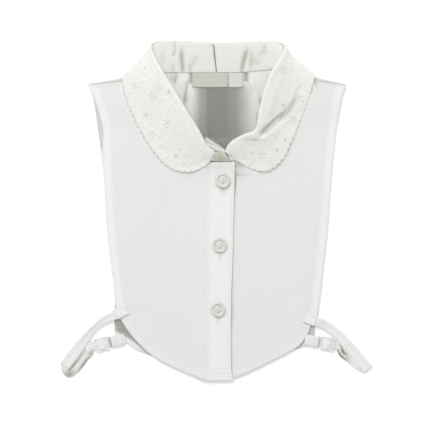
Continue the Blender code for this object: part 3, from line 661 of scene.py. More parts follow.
@dataclass(frozen=True)
class Woven:
    """A woven cotton finish."""

    name: str
    colour: Colour
    double_ply_and_painted_light_colour: Colour  # where the cloth lies double; on poplin it also paints a paler band beside the collar's edge, and on the collar cloth it is a grey painted shade for the stand and neckband
    painted_shade: Colour  # painted shade for the neck hollow, folds and gaps
    thread: float = 0.45  # from one thread to the next
    weave: float = 0.05  # height of the threads
    slub: float = 0.10  # height of the cloth's unevenness
    mottle: float = 0.15  # how uneven its tone is
    patches: float = 900.0  # and in how many patches to the metre
    roughness: float = 0.85
    sheen: float = 0.15

    def material(self) -> bpy.types.Material:
        """The finish as a material."""
        graph = Graph(self.name)
        x, y, _, where = graph.place()
        turn = 2 * math.pi / self.thread
        crossing = (x * turn).sine() * (y * turn).sine()
        slub = graph.noise(where, 160.0, 3.0)
        uneven = graph.noise(where, 900.0, 2.0)
        patches = graph.noise(where, self.patches, 3.0)
        # The doubled cloth's tone, also used to paint light beside the collar's edge and shade on the collar's stand
        colour = graph.mixed(graph.attribute("double_ply_and_painted_light"), self.colour, self.double_ply_and_painted_light_colour)
        # Painted shade, mixed in where the mesh marks it
        colour = graph.mixed(graph.attribute("painted_shade"), colour, self.painted_shade)
        shaded = tuple(0.8 * part for part in self.colour)
        graph.set("Base Color", graph.mixed((patches - 0.35) * self.mottle, colour, shaded))
        graph.set("Roughness", self.roughness + 0.1 * (slub - 0.5))
        graph.set("Metallic", 0.0)
        graph.set("Sheen Weight", self.sheen)
        graph.set("Sheen Roughness", 0.6)
        graph.set("Specular IOR Level", 0.25)
        graph.bump(crossing * self.weave + slub * self.slub + uneven * self.weave, 1.0, 0.7)
        return graph.material


@dataclass(frozen=True)
class Satin:
    """Thread or ribbon with a soft shine, ribbed in one direction."""

    name: str
    colour: Colour
    shade: Colour
    rib: float = 0.5
    height: float = 0.04
    roughness: float = 0.5
    heading: Spot = (1.0, 0.0)
    deep: Colour = (0.16, 0.165, 0.09)  # in folds, by the mesh's number "shadow"

    def material(self) -> bpy.types.Material:
        """The finish as a material."""
        graph = Graph(self.name)
        x, y, _, where = graph.place()
        turn = 2 * math.pi / self.rib
        ribs = ((x * self.heading[0] + y * self.heading[1]) * turn).sine()
        uneven = graph.noise(where, 500.0, 2.0)
        colour = graph.mixed(uneven * 0.5, self.colour, self.shade)
        graph.set("Base Color", graph.mixed(graph.attribute("shadow"), colour, self.deep))
        graph.set("Roughness", self.roughness + 0.15 * (uneven - 0.5))
        graph.set("Metallic", 0.0)
        graph.set("Sheen Weight", 0.1)
        graph.set("Specular IOR Level", 0.4)
        graph.bump(ribs * self.height + uneven * self.height, 1.0, 0.8)
        return graph.material


@dataclass(frozen=True)
class Pearly:
    """Polished pearly plastic with soft clouds."""

    name: str
    colour: Colour
    cloud: Colour
    roughness: float = 0.22

    def material(self) -> bpy.types.Material:
        """The finish as a material."""
        graph = Graph(self.name)
        _, _, _, where = graph.place()
        cloud = graph.noise(where, 260.0, 3.0)
        scratch = graph.noise(where, 2200.0, 2.0)
        graph.set("Base Color", graph.mixed(cloud, self.colour, self.cloud))
        graph.set("Roughness", self.roughness + 0.12 * (scratch - 0.5))
        graph.set("Metallic", 0.0)
        graph.set("Coat Weight", 0.4)
        graph.set("Coat Roughness", 0.1)
        graph.bump(cloud, 0.05, 0.5)
        return graph.material


@dataclass(frozen=True)
class Clear:
    """Clear moulded plastic with a faint haze."""

    name: str
    colour: Colour
    roughness: float = 0.14

    def material(self) -> bpy.types.Material:
        """The finish as a material."""
        graph = Graph(self.name)
        _, _, _, where = graph.place()
        haze = graph.noise(where, 700.0, 2.0)
        graph.set("Base Color", graph.mixed(haze * 0.3, self.colour, tuple(0.92 * part for part in self.colour)))
        graph.set("Roughness", self.roughness + 0.06 * haze)
        graph.set("Metallic", 0.0)
        graph.set("IOR", 1.46)
        graph.set("Transmission Weight", 0.2)
        graph.bump(haze, 0.03, 0.5)
        return graph.material


Finish = Woven | Satin | Pearly | Clear
# Each woven finish's third colour is the painted shade its pieces carry in hollows, folds and gaps.
POPLIN = Woven("poplin_weave", (0.78, 0.78, 0.765), (0.86, 0.86, 0.85), (0.25, 0.25, 0.225))
# The collar cloth's second colour is a grey painted shade for its stand and neckband.
COLLAR_CLOTH = Woven("collar_weave", (0.85, 0.855, 0.815), (0.70, 0.70, 0.685), (0.38, 0.39, 0.285), thread=0.4, mottle=0.9, patches=330.0)
EMBROIDERY = Satin("embroidery_thread", (0.88, 0.885, 0.86), (0.80, 0.80, 0.76), rib=0.35, height=0.05, roughness=0.45)
EYELET_SHADE = Woven("eyelet_shade", (0.64, 0.64, 0.57), (0.64, 0.64, 0.57), (0.48, 0.48, 0.4), roughness=0.95)
SEWING_THREAD = Satin("sewing_thread", (0.82, 0.82, 0.80), (0.74, 0.74, 0.72), rib=0.25, height=0.04, heading=(0.7, 0.7))
RIBBED_ELASTIC = Satin("ribbed_elastic", (0.88, 0.88, 0.87), (0.81, 0.81, 0.80), rib=0.6, height=0.07, heading=(0.7, 0.7))
LABEL_TAPE = Satin("label_tape_weave", (0.56, 0.565, 0.505), (0.49, 0.495, 0.435), rib=0.45, height=0.05, heading=(0.0, 1.0))
SIZE_TAPE = Satin("size_tape_weave", (0.68, 0.68, 0.64), (0.60, 0.60, 0.56), rib=0.45, height=0.05, heading=(0.0, 1.0))
PEARL = Pearly("pearl_button", (0.74, 0.75, 0.71), (0.58, 0.59, 0.55))
CLEAR_PLASTIC = Clear("clear_plastic_slider", (0.96, 0.96, 0.95))

_made_materials: dict[str, bpy.types.Material] = {}


def material_of(finish: Finish) -> bpy.types.Material:
    """The finish's material, made once."""
    if finish.name not in _made_materials:
        _made_materials[finish.name] = finish.material()
    return _made_materials[finish.name]


# Meshes


class Parts:
    """Points and faces that are gathered into one mesh."""

    def __init__(self) -> None:
        """Start with nothing."""
        self.points: list[Array] = []
        self.faces: list[Sequence[int]] = []
        self.count = 0

    def add(self, points: Array, faces: Iterable[Sequence[int]]) -> None:
        """Add points in millimetres and the faces between them."""
        self.faces.extend(tuple(int(n) + self.count for n in face) for face in faces)
        self.points.append(np.asarray(points, dtype=float).reshape(-1, 3))
        self.count += len(self.points[-1])

    def built(self, name: str, finish: Finish, numbers: dict[str, Array] | None = None) -> bpy.types.Object:
        """Make the mesh.

        Args:
            name: The piece's name.
            finish: What it is made of.
            numbers: Values for each point that the finish reads, by name.

        Returns:
            The object, linked to the scene.
        """
        points = np.vstack(self.points)
        points[:, 2] = np.maximum(points[:, 2], 0.0)  # pressed flat on the table
        mesh = bpy.data.meshes.new(name)
        mesh.from_pydata((points * MM).tolist(), [], self.faces)
        for key, values in (numbers or {}).items():
            stored = mesh.attributes.new(key, "FLOAT", "POINT")
            stored.data.foreach_set("value", np.asarray(values, dtype=np.float32).ravel())
        mesh.materials.append(material_of(finish))
        mesh.shade_smooth()
        mesh.update()
        made = bpy.data.objects.new(name, mesh)
        bpy.context.scene.collection.objects.link(made)
        return made


def grid_normals(grid: Array) -> Array:
    """Unit normals of a grid of points, by the differences between neighbours."""
    return unit(np.cross(np.gradient(grid, axis=0), np.gradient(grid, axis=1)))


def grid_faces(rows: int, columns: int, start: int = 0, turned: bool = False) -> list[list[int]]:
    """List the quads of a grid of points.

    Args:
        rows: Rows of points.
        columns: Points in a row.
        start: The first point's number.
        turned: Whether the faces look the other way.

    Returns:
        Four point numbers for each quad.
    """
    index = np.arange(rows * columns).reshape(rows, columns) + start
    corners = [index[:-1, :-1], index[1:, :-1], index[1:, 1:], index[:-1, 1:]]
    if turned:
        corners.reverse()
    return np.stack([corner.ravel() for corner in corners], axis=1).tolist()


@dataclass
class Shell:
    """Cloth about a grid of its middle points, closed round its edges by a rounded fold."""

    grid: Array
    above: Array | float = 0.25
    below: Array | float = 0.25
    roundness: float = 0.6

    def rim(self) -> list[tuple[int, int]]:
        """The grid's border, once round."""
        rows, columns = self.grid.shape[:2]
        around = [(i, 0) for i in range(rows)]
        around += [(rows - 1, j) for j in range(1, columns)]
        around += [(i, columns - 1) for i in range(rows - 2, -1, -1)]
        return around + [(0, j) for j in range(columns - 2, 0, -1)]

    def add_to(self, parts: Parts) -> None:
        """Add the shell's two skins and its rim."""
        rows, columns = self.grid.shape[:2]
        normals = grid_normals(self.grid)
        above = np.broadcast_to(self.above, (rows, columns))
        below = np.broadcast_to(self.below, (rows, columns))
        top = self.grid + normals * above[..., None]
        bottom = self.grid - normals * below[..., None]
        size = rows * columns
        faces = grid_faces(rows, columns) + grid_faces(rows, columns, size, True)
        edge = []
        around = self.rim()
        for i, j in around:
            inner = self.grid[min(max(i, 1), rows - 2), min(max(j, 1), columns - 2)]
            out = unit(self.grid[i, j] - inner)
            edge.append(self.grid[i, j] + out * self.roundness * (above[i, j] + below[i, j]) / 2)
        for n, (i, j) in enumerate(around):
            m = (n + 1) % len(around)
            k, l = around[m]
            here, there = i * columns + j, k * columns + l
            faces.append([here, 2 * size + n, 2 * size + m, there])
            faces.append([2 * size + n, size + here, size + there, 2 * size + m])
        parts.add(np.vstack([top.reshape(-1, 3), bottom.reshape(-1, 3), np.array(edge)]), faces)

    def spread(self, values: Array | float) -> Array:
        """Repeat a number of each grid point for both skins and the rim."""
        values = np.broadcast_to(values, self.grid.shape[:2])
        around = np.array([values[i, j] for i, j in self.rim()])
        return np.concatenate([values.ravel(), values.ravel(), around])


def cloth(name: str, shell: Shell, finish: Finish, double_ply_and_painted_light: Array | float = 0.0, painted_shade: Array | float = 0.0) -> bpy.types.Object:
    """Make one piece of cloth.

    Args:
        name: The piece's name.
        shell: Its form.
        finish: What it is made of.
        double_ply_and_painted_light: 1 where it lies double, and where the finish's second colour is painted on as
            light or shade.
        painted_shade: 1 where the painted shade is darkest.

    Returns:
        The object.
    """
    parts = Parts()
    shell.add_to(parts)
    return parts.built(name, finish, {"double_ply_and_painted_light": shell.spread(double_ply_and_painted_light), "painted_shade": shell.spread(painted_shade)})


def capsules(parts: Parts, starts: Array, ends: Array, ups: Array, width: float, height: float) -> None:
    """Add short threads.

    Args:
        parts: Where they are added.
        starts: Rows of their first ends.
        ends: Rows of their other ends.
        ups: Rows of the direction away from the cloth.
        width: Their width.
        height: Their height.
    """
    sides, shares = 6, np.array([0.0, 0.12, 0.5, 0.88, 1.0])
    girths = np.array([0.35, 0.85, 1.0, 0.85, 0.35])
    arches = np.array([-0.6, 0.2, 0.45, 0.2, -0.6])
    run = unit(ends - starts)
    across = unit(np.cross(run, ups))
    ups = unit(np.cross(across, run))
    angles = np.linspace(0, 2 * math.pi, sides, endpoint=False)
    middle = starts[:, None] + (ends - starts)[:, None] * shares[None, :, None]
    middle = middle + ups[:, None] * (arches * height)[None, :, None]
    ring = across[:, None, None] * (np.cos(angles) * width / 2)[None, None, :, None]
    ring = ring + ups[:, None, None] * (np.sin(angles) * height / 2)[None, None, :, None]
    points = middle[:, :, None] + ring * girths[None, :, None, None]
    faces = []
    for i in range(len(shares) - 1):
        for j in range(sides):
            k = (j + 1) % sides
            faces.append((i * sides + j, i * sides + k, (i + 1) * sides + k, (i + 1) * sides + j))
    faces.append(tuple(reversed(range(sides))))
    faces.append(tuple((len(shares) - 1) * sides + j for j in range(sides)))
    for one in points:
        parts.add(one, faces)


def tube(parts: Parts, line: Array, radius: Array | float, sides: int = 8, up: Array | None = None) -> None:
    """Add a round cord along a line, with closed ends.

    Args:
        parts: Where it is added.
        line: Rows of the cord's middle.
        radius: Its radius, all along or for each row.
        sides: Sides of its section.
        up: The direction that its section is set by.
    """
    run = unit(np.gradient(line, axis=0))
    across = unit(np.cross(run, np.array([0.0, 0.0, 1.0]) if up is None else up))
    ups = unit(np.cross(across, run))
    angles = np.linspace(0, 2 * math.pi, sides, endpoint=False)
    radius = np.broadcast_to(radius, len(line))[:, None, None]
    ring = across[:, None] * np.cos(angles)[None, :, None] + ups[:, None] * np.sin(angles)[None, :, None]
    points = line[:, None] + ring * radius
    faces = []
    for i in range(len(line) - 1):
        for j in range(sides):
            k = (j + 1) % sides
            faces.append((i * sides + j, i * sides + k, (i + 1) * sides + k, (i + 1) * sides + j))
    faces.append(tuple(reversed(range(sides))))
    faces.append(tuple((len(line) - 1) * sides + j for j in range(sides)))
    parts.add(points, faces)


class Surface:
    """A made piece as something to lay thread or embroidery on."""

    def __init__(self, piece: bpy.types.Object) -> None:
        """Take the piece's mesh, in millimetres."""
        points = [Vector(vertex.co) * 1000 for vertex in piece.data.vertices]
        self.tree = BVHTree.FromPolygons(points, [tuple(face.vertices) for face in piece.data.polygons])

    def under(self, x: float, y: float, from_below: bool = False) -> tuple[Array, Array] | None:
        """Find the surface over or under a place.

        Args:
            x: Place across.
            y: Place along.
            from_below: Whether it is looked at from below.

        Returns:
            The point and its outward normal, or None beside the piece.
        """
        way = 1.0 if from_below else -1.0
        point, normal, _, _ = self.tree.ray_cast(Vector((x, y, -60.0 * way)), Vector((0, 0, way)))
        if point is None:
            return None
        normal = np.array(normal)
        if normal[2] * way > 0:
            normal = -normal
        return np.array(point), normal

    def lay(self, template: Array, x: float, y: float, turn: float = 0.0, from_below: bool = False) -> Array | None:
        """Lay a shape's points on the surface.

        Args:
            template: Rows of x, y and height over the surface.
            x: Where its middle goes, across.
            y: Where its middle goes, along.
            turn: How it is turned, in degrees.
            from_below: Whether it lies on the underside.

        Returns:
            The points, or None where one is beside the piece.
        """
        cos, sin = math.cos(math.radians(turn)), math.sin(math.radians(turn))
        laid = []
        for tx, ty, height in template:
            found = self.under(x + tx * cos - ty * sin, y + tx * sin + ty * cos, from_below)
            if found is None:
                return None
            laid.append(found[0] + found[1] * height)
        return np.array(laid)


@dataclass
class Seam:
    """Rows of stitches on one piece."""

    surface: Surface
    pitch: float = 2.3
    length: float = 1.7
    width: float = 0.34
    height: float = 0.24
    parts: Parts = field(default_factory=Parts)

    def sew(self, line: Array, from_below: bool = False) -> None:
        """Sew along a line of x, y."""
        marks = evenly(line, self.pitch)
        starts, ends, ups = [], [], []
        for here, there in zip(marks[:-1], marks[1:]):
            run = there - here
            first = self.surface.under(*here, from_below)
            last = self.surface.under(*(here + run * self.length / self.pitch), from_below)
            if first is None or last is None:
                continue
            starts.append(first[0])
            ends.append(last[0])
            ups.append(first[1])
        if starts:
            capsules(self.parts, np.array(starts), np.array(ends), np.array(ups), self.width, self.height)

    def built(self, name: str) -> bpy.types.Object:
        """The stitches as one piece."""
        return self.parts.built(name, SEWING_THREAD)


@dataclass(frozen=True)
class Cut:
    """What a piece of cloth was cut to, and how it lies."""

    flat: Spot  # millimetres
    held: str
    rests_on: tuple[str, ...] = ()
    area: float | None = None  # square millimetres


def hand_over(
    piece: bpy.types.Object,
    nodes: Sequence[str] = (),
    cut: Cut | None = None,
    extras: Sequence[bpy.types.Object] = (),
) -> None:
    """Attach a piece and the pieces sewn on it to the root, hide the solids it stands for, and log it.

    Args:
        piece: The piece.
        nodes: The solids it stands for.
        cut: Its cut, where it is a sheet of cloth; not used.
        extras: Pieces sewn on it.
    """
    for one in (piece, *extras):
        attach(one, "root")
    if nodes:
        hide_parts(*nodes)
    if cut:
        area = cut.area * 1e-6 if cut.area else None
        flat = (cut.flat[0] * MM, cut.flat[1] * MM)
        list(cut.rests_on)
    for one in (piece, *extras):
        triangles = sum(len(face.vertices) - 2 for face in one.data.polygons)
        LOG.info("%s: %d triangles", one.name, triangles)


# Panels


def blended(left: Array, right: Array, top: Array, bottom: Array, down: Array, across: Array) -> Array:
    """Fill a grid of x, y between four edges that meet at their corners.

    Args:
        left: The grid's first column.
        right: Its last column.
        top: Its first row.
        bottom: Its last row.
        down: Each row's share of the way down.
        across: Each column's share of the way across.

    Returns:
        The grid.
    """
    v, u = down[:, None, None], across[None, :, None]
    sides = (1 - u) * left[:, None] + u * right[:, None]
    ends = (1 - v) * top[None] + v * bottom[None]
    corners = (1 - v) * (1 - u) * top[0] + (1 - v) * u * top[-1] + v * (1 - u) * bottom[0] + v * u * bottom[-1]
    return sides + ends - corners


def close_ends(count: int) -> Array:
    """Shares from 0 to 1 that lie closer together near both ends."""
    plain = np.linspace(0, 1, count)
    return plain - 0.55 * np.sin(2 * math.pi * plain) / (2 * math.pi)


@dataclass
class Panel:
    """One panel of poplin with turned hems."""

    layers: Layers
    ply: float = 0.46
    hem_width: float = 6.0
    hem_rise: float = 0.17
    hem_tones: tuple[float, ...] = (0.85, 0.3)  # how much of the doubled cloth's tone each edge shows
    columns: int = 92
    creases: tuple[Crease, ...] = ()

    def hem_at(self, lines: Sequence[Array], x: Array, y: Array) -> Array:
        """How far a place is in the turned hem.

        Args:
            lines: The edges that are turned.
            x: Places across.
            y: Places along.

        Returns:
            1 in the hem, 0 in the single cloth, soft between.
        """
        hem = np.zeros(np.shape(x))
        for line in lines:
            hem = np.maximum(hem, 1.0 - eased((nearest(line, x, y) - self.hem_width + 0.4) / 0.9))
        return hem

    def cloth_of(
        self,
        name: str,
        flat: Array,
        middle: Array,
        lines: Sequence[Array],
        painted_shade: Array | float = 0.0,
        beside_leaf: Sequence[Key] = (),
    ) -> bpy.types.Object:
        """Make the panel's cloth.

        Args:
            name: The piece's name.
            flat: Its grid of x, y.
            middle: The height of its middle.
            lines: Its turned edges.
            painted_shade: How much painted shade lies on it, 1 for the darkest.
            beside_leaf: The collar's edge, along which a paler band of painted light lies.

        Returns:
            The object.
        """
        x, y = flat[..., 0], flat[..., 1]
        hem = self.hem_at(lines, x, y)
        edge = np.minimum.reduce([nearest(line, x, y) for line in lines])
        away = eased(edge / 9.0)
        z = middle + relief(self.creases, x, y) * away
        half = self.ply / 2 + self.hem_rise * hem * 0.5
        z = np.maximum(z, half + 0.02)
        tones = [tone * self.hem_at([line], x, y) for tone, line in zip(self.hem_tones, lines)]
        # A painted highlight on the front along the collar's edge, where shade falls under it
        if beside_leaf:
            edge = curve_at(beside_leaf, np.linspace(0.41, 0.97, 300))[:, :2]
            tones.append(1.0 - eased((nearest(edge, x, y) - 1.1) / 2.2))
        shell = Shell(np.dstack([flat, z]), half, half)
        return cloth(name, shell, POPLIN, np.maximum.reduce(tones), painted_shade)

    def hem_stitches(self, name: str, piece: bpy.types.Object, rows: Sequence[Array]) -> bpy.types.Object:
        """Sew rows of stitches on the panel, on both its faces."""
        seam = Seam(Surface(piece))
        for row in rows:
            seam.sew(row)
            seam.sew(row, from_below=True)
        return seam.built(name)


@dataclass
class Front(Panel):
    """One of the two fronts."""

    neck_rows: int = 110
    body_rows: int = 99

    def neck_and_centre(self, neck: Array, centre_x: float, bottom_y: float) -> Array:
        """Follow the neck edge and then the centre edge down.

        Args:
            neck: The neck edge.
            centre_x: Where the centre edge runs.
            bottom_y: Where it ends.

        Returns:
            Rows of x, y.
        """
        down = np.linspace((centre_x, neck[-1][1]), (centre_x, bottom_y), self.body_rows + 1)
        return np.vstack([neck[:-1], down])

    def painted_shoulder_shade(self, flat: Array) -> Array:
        """Painted shade darkens the line of the seam along the shoulder's edge."""
        line = evenly(np.array([flat[0, 0], flat[0, -1]]), 0.8)
        return 0.45 * (1.0 - eased((nearest(line, flat[..., 0], flat[..., 1]) - 0.5) / 1.0))

    def grid(self, side: Sequence[Key], hem: Sequence[Key], centre: Array) -> Array:
        """Fill the front between its side, its hem, its shoulder and its centre."""
        down, across = np.linspace(0, 1, len(centre)), close_ends(self.columns)
        side_line = curve_at(side, down)[:, :2]
        shoulder = side_line[0] + (centre[0] - side_line[0]) * across[:, None]
        return blended(side_line, centre, shoulder, curve_at(hem, across)[:, :2], down, across)

    def stitch_rows(self, side: Sequence[Key], hem: Sequence[Key], inward: float, shoulder: tuple[Spot, Spot]) -> list[Array]:
        """The hem's two rows, and the row beside the shoulder seam."""
        shares = np.linspace(0.02, 0.985, 160)
        rows = [beside(side, shares, -5.2), beside(hem, shares, -5.2), beside(side, shares, -0.9)]
        return rows + [beside(hem, shares, -0.9), np.linspace(*shoulder, 60)]


@dataclass
class RightFront(Front):
    """The front on the wearer's right, which ends at the placket's seam."""

    def build(self) -> bpy.types.Object:
        """Make and dress it."""
        shares = np.linspace(0.405, 0.945, self.neck_rows + 1)
        neck = beside(RIGHT_SEAM, shares, 0.3)
        neck[-1] = (-5.2, neck[-1][1])
        centre = self.neck_and_centre(neck, -5.2, FRONT_RIGHT_HEM[-1].y)
        flat = self.grid(FRONT_RIGHT_SIDE, FRONT_RIGHT_HEM, centre)
        middle = self.layers.right_front(flat[..., 0], flat[..., 1])
        lines = [curve_at(keys, np.linspace(0, 1, 260))[:, :2] for keys in (FRONT_RIGHT_SIDE, FRONT_RIGHT_HEM)]
        made = self.cloth_of("right_front_cloth", flat, middle, lines, self.painted_shoulder_shade(flat), RIGHT_EDGE)
        shoulder = ((-93.6, 94.4), (-53.0, 99.6))
        rows = self.stitch_rows(FRONT_RIGHT_SIDE, FRONT_RIGHT_HEM, -1, shoulder)
        stitches = self.hem_stitches("right_front_stitches", made, rows)
        cut = Cut((92.0, 233.0), "laid", ("left_front_cloth", "back_cloth"), 14900)
        hand_over(made, ["front_right"], cut, [stitches])
        return made


@dataclass
class LeftFront(Front):
    """The front on the wearer's left, which runs on under the placket."""

    # The shade beside the placket's lifted edge: y, depth, reach
    gaps: tuple[tuple[float, float, float], ...] = (
        (-128.0, 0.2, 1.2),
        (-118.0, 0.25, 1.4),
        (-106.0, 0.22, 2.0),
        (-96.0, 0.15, 1.4),
        (-86.0, 0.3, 2.6),
        (-75.0, 0.34, 4.2),
        (-66.0, 0.3, 2.4),
        (-45.0, 0.25, 1.4),
        (-15.0, 0.1, 1.0),
        (6.8, 0.25, 1.2),
        (17.0, 0.5, 2.0),
        (24.0, 0.6, 2.4),
        (29.0, 0.45, 3.2),
        (33.0, 0.4, 5.0),
        (38.0, 0.4, 6.0),
    )

    def placket_tone(self, x: Array, y: Array) -> Array:
        """How deep the shade is beside the placket, under the leaf's front end and at the shoulder.

        Args:
            x: Places across.
            y: Places along.

        Returns:
            0 for none, 1 for the darkest.
        """
        edge = curve_at(PLACKET_EDGE, np.linspace(1, 0, 200))
        away = x - np.interp(y, edge[:, 1], edge[:, 0])
        places, depths, reaches = zip(*self.gaps)
        depth = np.interp(y, places, depths, right=0.0)
        beside_it = depth * (1.0 - eased((away - 0.3) / np.interp(y, places, reaches)))
        end = 0.55 * np.exp(-(((x - 19.0) / 5.5) ** 2) - ((y - 36.0) / 3.5) ** 2)
        notch = 0.5 * np.exp(-(((x - 77.0 - 0.3 * (98.5 - y)) / 1.1) ** 2) - ((y - 98.5) / 4.0) ** 2)
        return np.maximum.reduce([beside_it, end, notch])

    def build(self) -> bpy.types.Object:
        """Make and dress it."""
        neck = beside(LEFT_SEAM, np.linspace(0.405, 1.0, self.neck_rows), -0.3)
        neck = np.vstack([neck, [(-3.4, neck[-1][1])]])
        centre = self.neck_and_centre(neck, -3.4, FRONT_LEFT_HEM[-1].y)
        flat = self.grid(FRONT_LEFT_SIDE, FRONT_LEFT_HEM, centre)
        middle = self.layers.left_front(flat[..., 0], flat[..., 1])
        lines = [curve_at(keys, np.linspace(0, 1, 260))[:, :2] for keys in (FRONT_LEFT_SIDE, FRONT_LEFT_HEM)]
        tone = np.maximum(self.painted_shoulder_shade(flat), self.placket_tone(flat[..., 0], flat[..., 1]))
        made = self.cloth_of("left_front_cloth", flat, middle, lines, tone, LEFT_EDGE)
        shares = np.linspace(0.02, 0.985, 160)
        rows = [beside(keys, shares, away) for keys in (FRONT_LEFT_SIDE, FRONT_LEFT_HEM) for away in (5.2, 0.9)]
        rows.append(np.linspace((98.4, 94.2), (59.5, 101.6), 60))
        stitches = self.hem_stitches("left_front_stitches", made, rows)
        cut = Cut((105.0, 234.0), "laid", ("back_cloth",), 17100)
        hand_over(made, ["front_left"], cut, [stitches])
        return made


@dataclass
class Back(Panel):
    """The back, which lies lowest and shows through the neck opening."""

    columns: int = 150
    rows: int = 190
    hem_tones: tuple[float, ...] = (0.5, 0.5, 0.5)

    def painted_shade_at(self, x: Array, y: Array) -> Array:
        """How much painted shade lies on the back: in the neck hollow, in its creases' troughs, in its lower corners,
        under the fronts' hems and at the right armhole.

        Args:
            x: Places across.
            y: Places along.

        Returns:
            0 for none, 1 for the darkest.
        """
        towards_right = 0.18 * eased((-4.0 - x) / 4.0) + 0.82 * eased((-8.8 - x) / 9.5)
        towards_left = 0.1 * eased((x - 8.0) / 8.0) + 0.45 * eased((x - 15.5) / 11.0) + 0.45 * eased((x - 23.0) / 10.0)
        across = (1.0 - towards_right) * (1.0 - towards_left)
        neck = across * eased((y - 40.0) / 8.0) * eased((99.2 - y) / 7.5) * (1.0 - 0.12 * eased((57.0 - y) / 3.0))
        above = eased((y - 60.0) / 8.0) * eased((106.5 - y) / 2.0)
        folded = 0.75 * np.clip(-relief(self.creases, x, y), 0, 1) * above
        hem = nearest(curve_at(BACK_HEM, np.linspace(0, 1, 300))[:, :2], x, y)
        corner = 0.80 * eased((-46.0 - x) / 14.0) + 0.42 * eased((x - 60.0) / 10.0)
        corner = corner * (1.0 - 0.45 * eased((-73.4 - x) / 1.6) * eased((-86.0 - y) / 3.0))
        corner = corner * eased((-79.0 - y) / 4.0) * eased((hem - 3.6) / 1.0)
        fronts = [curve_at(keys, np.linspace(0, 1, 300))[:, :2] for keys in (FRONT_RIGHT_HEM, FRONT_LEFT_HEM)]
        under = np.minimum(*(nearest(line, x, y) for line in fronts))
        shade = 0.55 * (1.0 - eased((under - 0.8) / 1.8)) * eased((np.abs(x) - 14.0) / 12.0)
        armhole = 0.30 * eased((-80.0 - x) / 4.0) * eased((y - 42.0) / 8.0) * eased((92.0 - y) / 6.0)
        return np.clip(np.maximum.reduce([neck, folded, corner, shade, armhole]), 0, 1)

    def build(self) -> bpy.types.Object:
        """Make and dress it."""
        down = np.linspace(0, 1, self.rows) ** 1.25
        side = (self.columns - 2 * 35) // 2
        right = curve_at(BACK_RIGHT_SIDE, down)[:, :2]
        left = curve_at(BACK_LEFT_SIDE, down)[:, :2]
        right_neck = beside(RIGHT_SEAM, np.linspace(0.35, 0.0, 35), 0.5)
        left_neck = beside(LEFT_SEAM, np.linspace(0.0, 0.35, 36), -0.5)
        top = np.vstack(
            [
                np.linspace(right[0], right_neck[0], side, endpoint=False),
                right_neck[:-1],
                left_neck[1:],
                np.linspace(left_neck[-1], left[0], side + 1)[1:],
            ]
        )
        across = np.linspace(0, 1, len(top))
        hem = curve_at(BACK_HEM, across)[:, :2]
        flat = blended(right, left, top, hem, down, across)
        middle = self.layers.back(flat[..., 0], flat[..., 1])
        keys = (BACK_RIGHT_SIDE, BACK_LEFT_SIDE, BACK_HEM)
        lines = [curve_at(one, np.linspace(0, 1, 300))[:, :2] for one in keys]
        made = self.cloth_of("back_cloth", flat, middle, lines, self.painted_shade_at(flat[..., 0], flat[..., 1]))
        shares = np.linspace(0.03, 0.98, 160)
        rows = [beside(BACK_RIGHT_SIDE, shares * 0.88, -5.2), beside(BACK_LEFT_SIDE, shares * 0.88, 5.2)]
        rows.append(beside(BACK_HEM, shares, -5.2))
        stitches = self.hem_stitches("back_stitches", made, rows)
        cut = Cut((196.0, 234.0), "laid", (), 37800)
        hand_over(made, ["back_panel"], cut, [stitches])
        return made


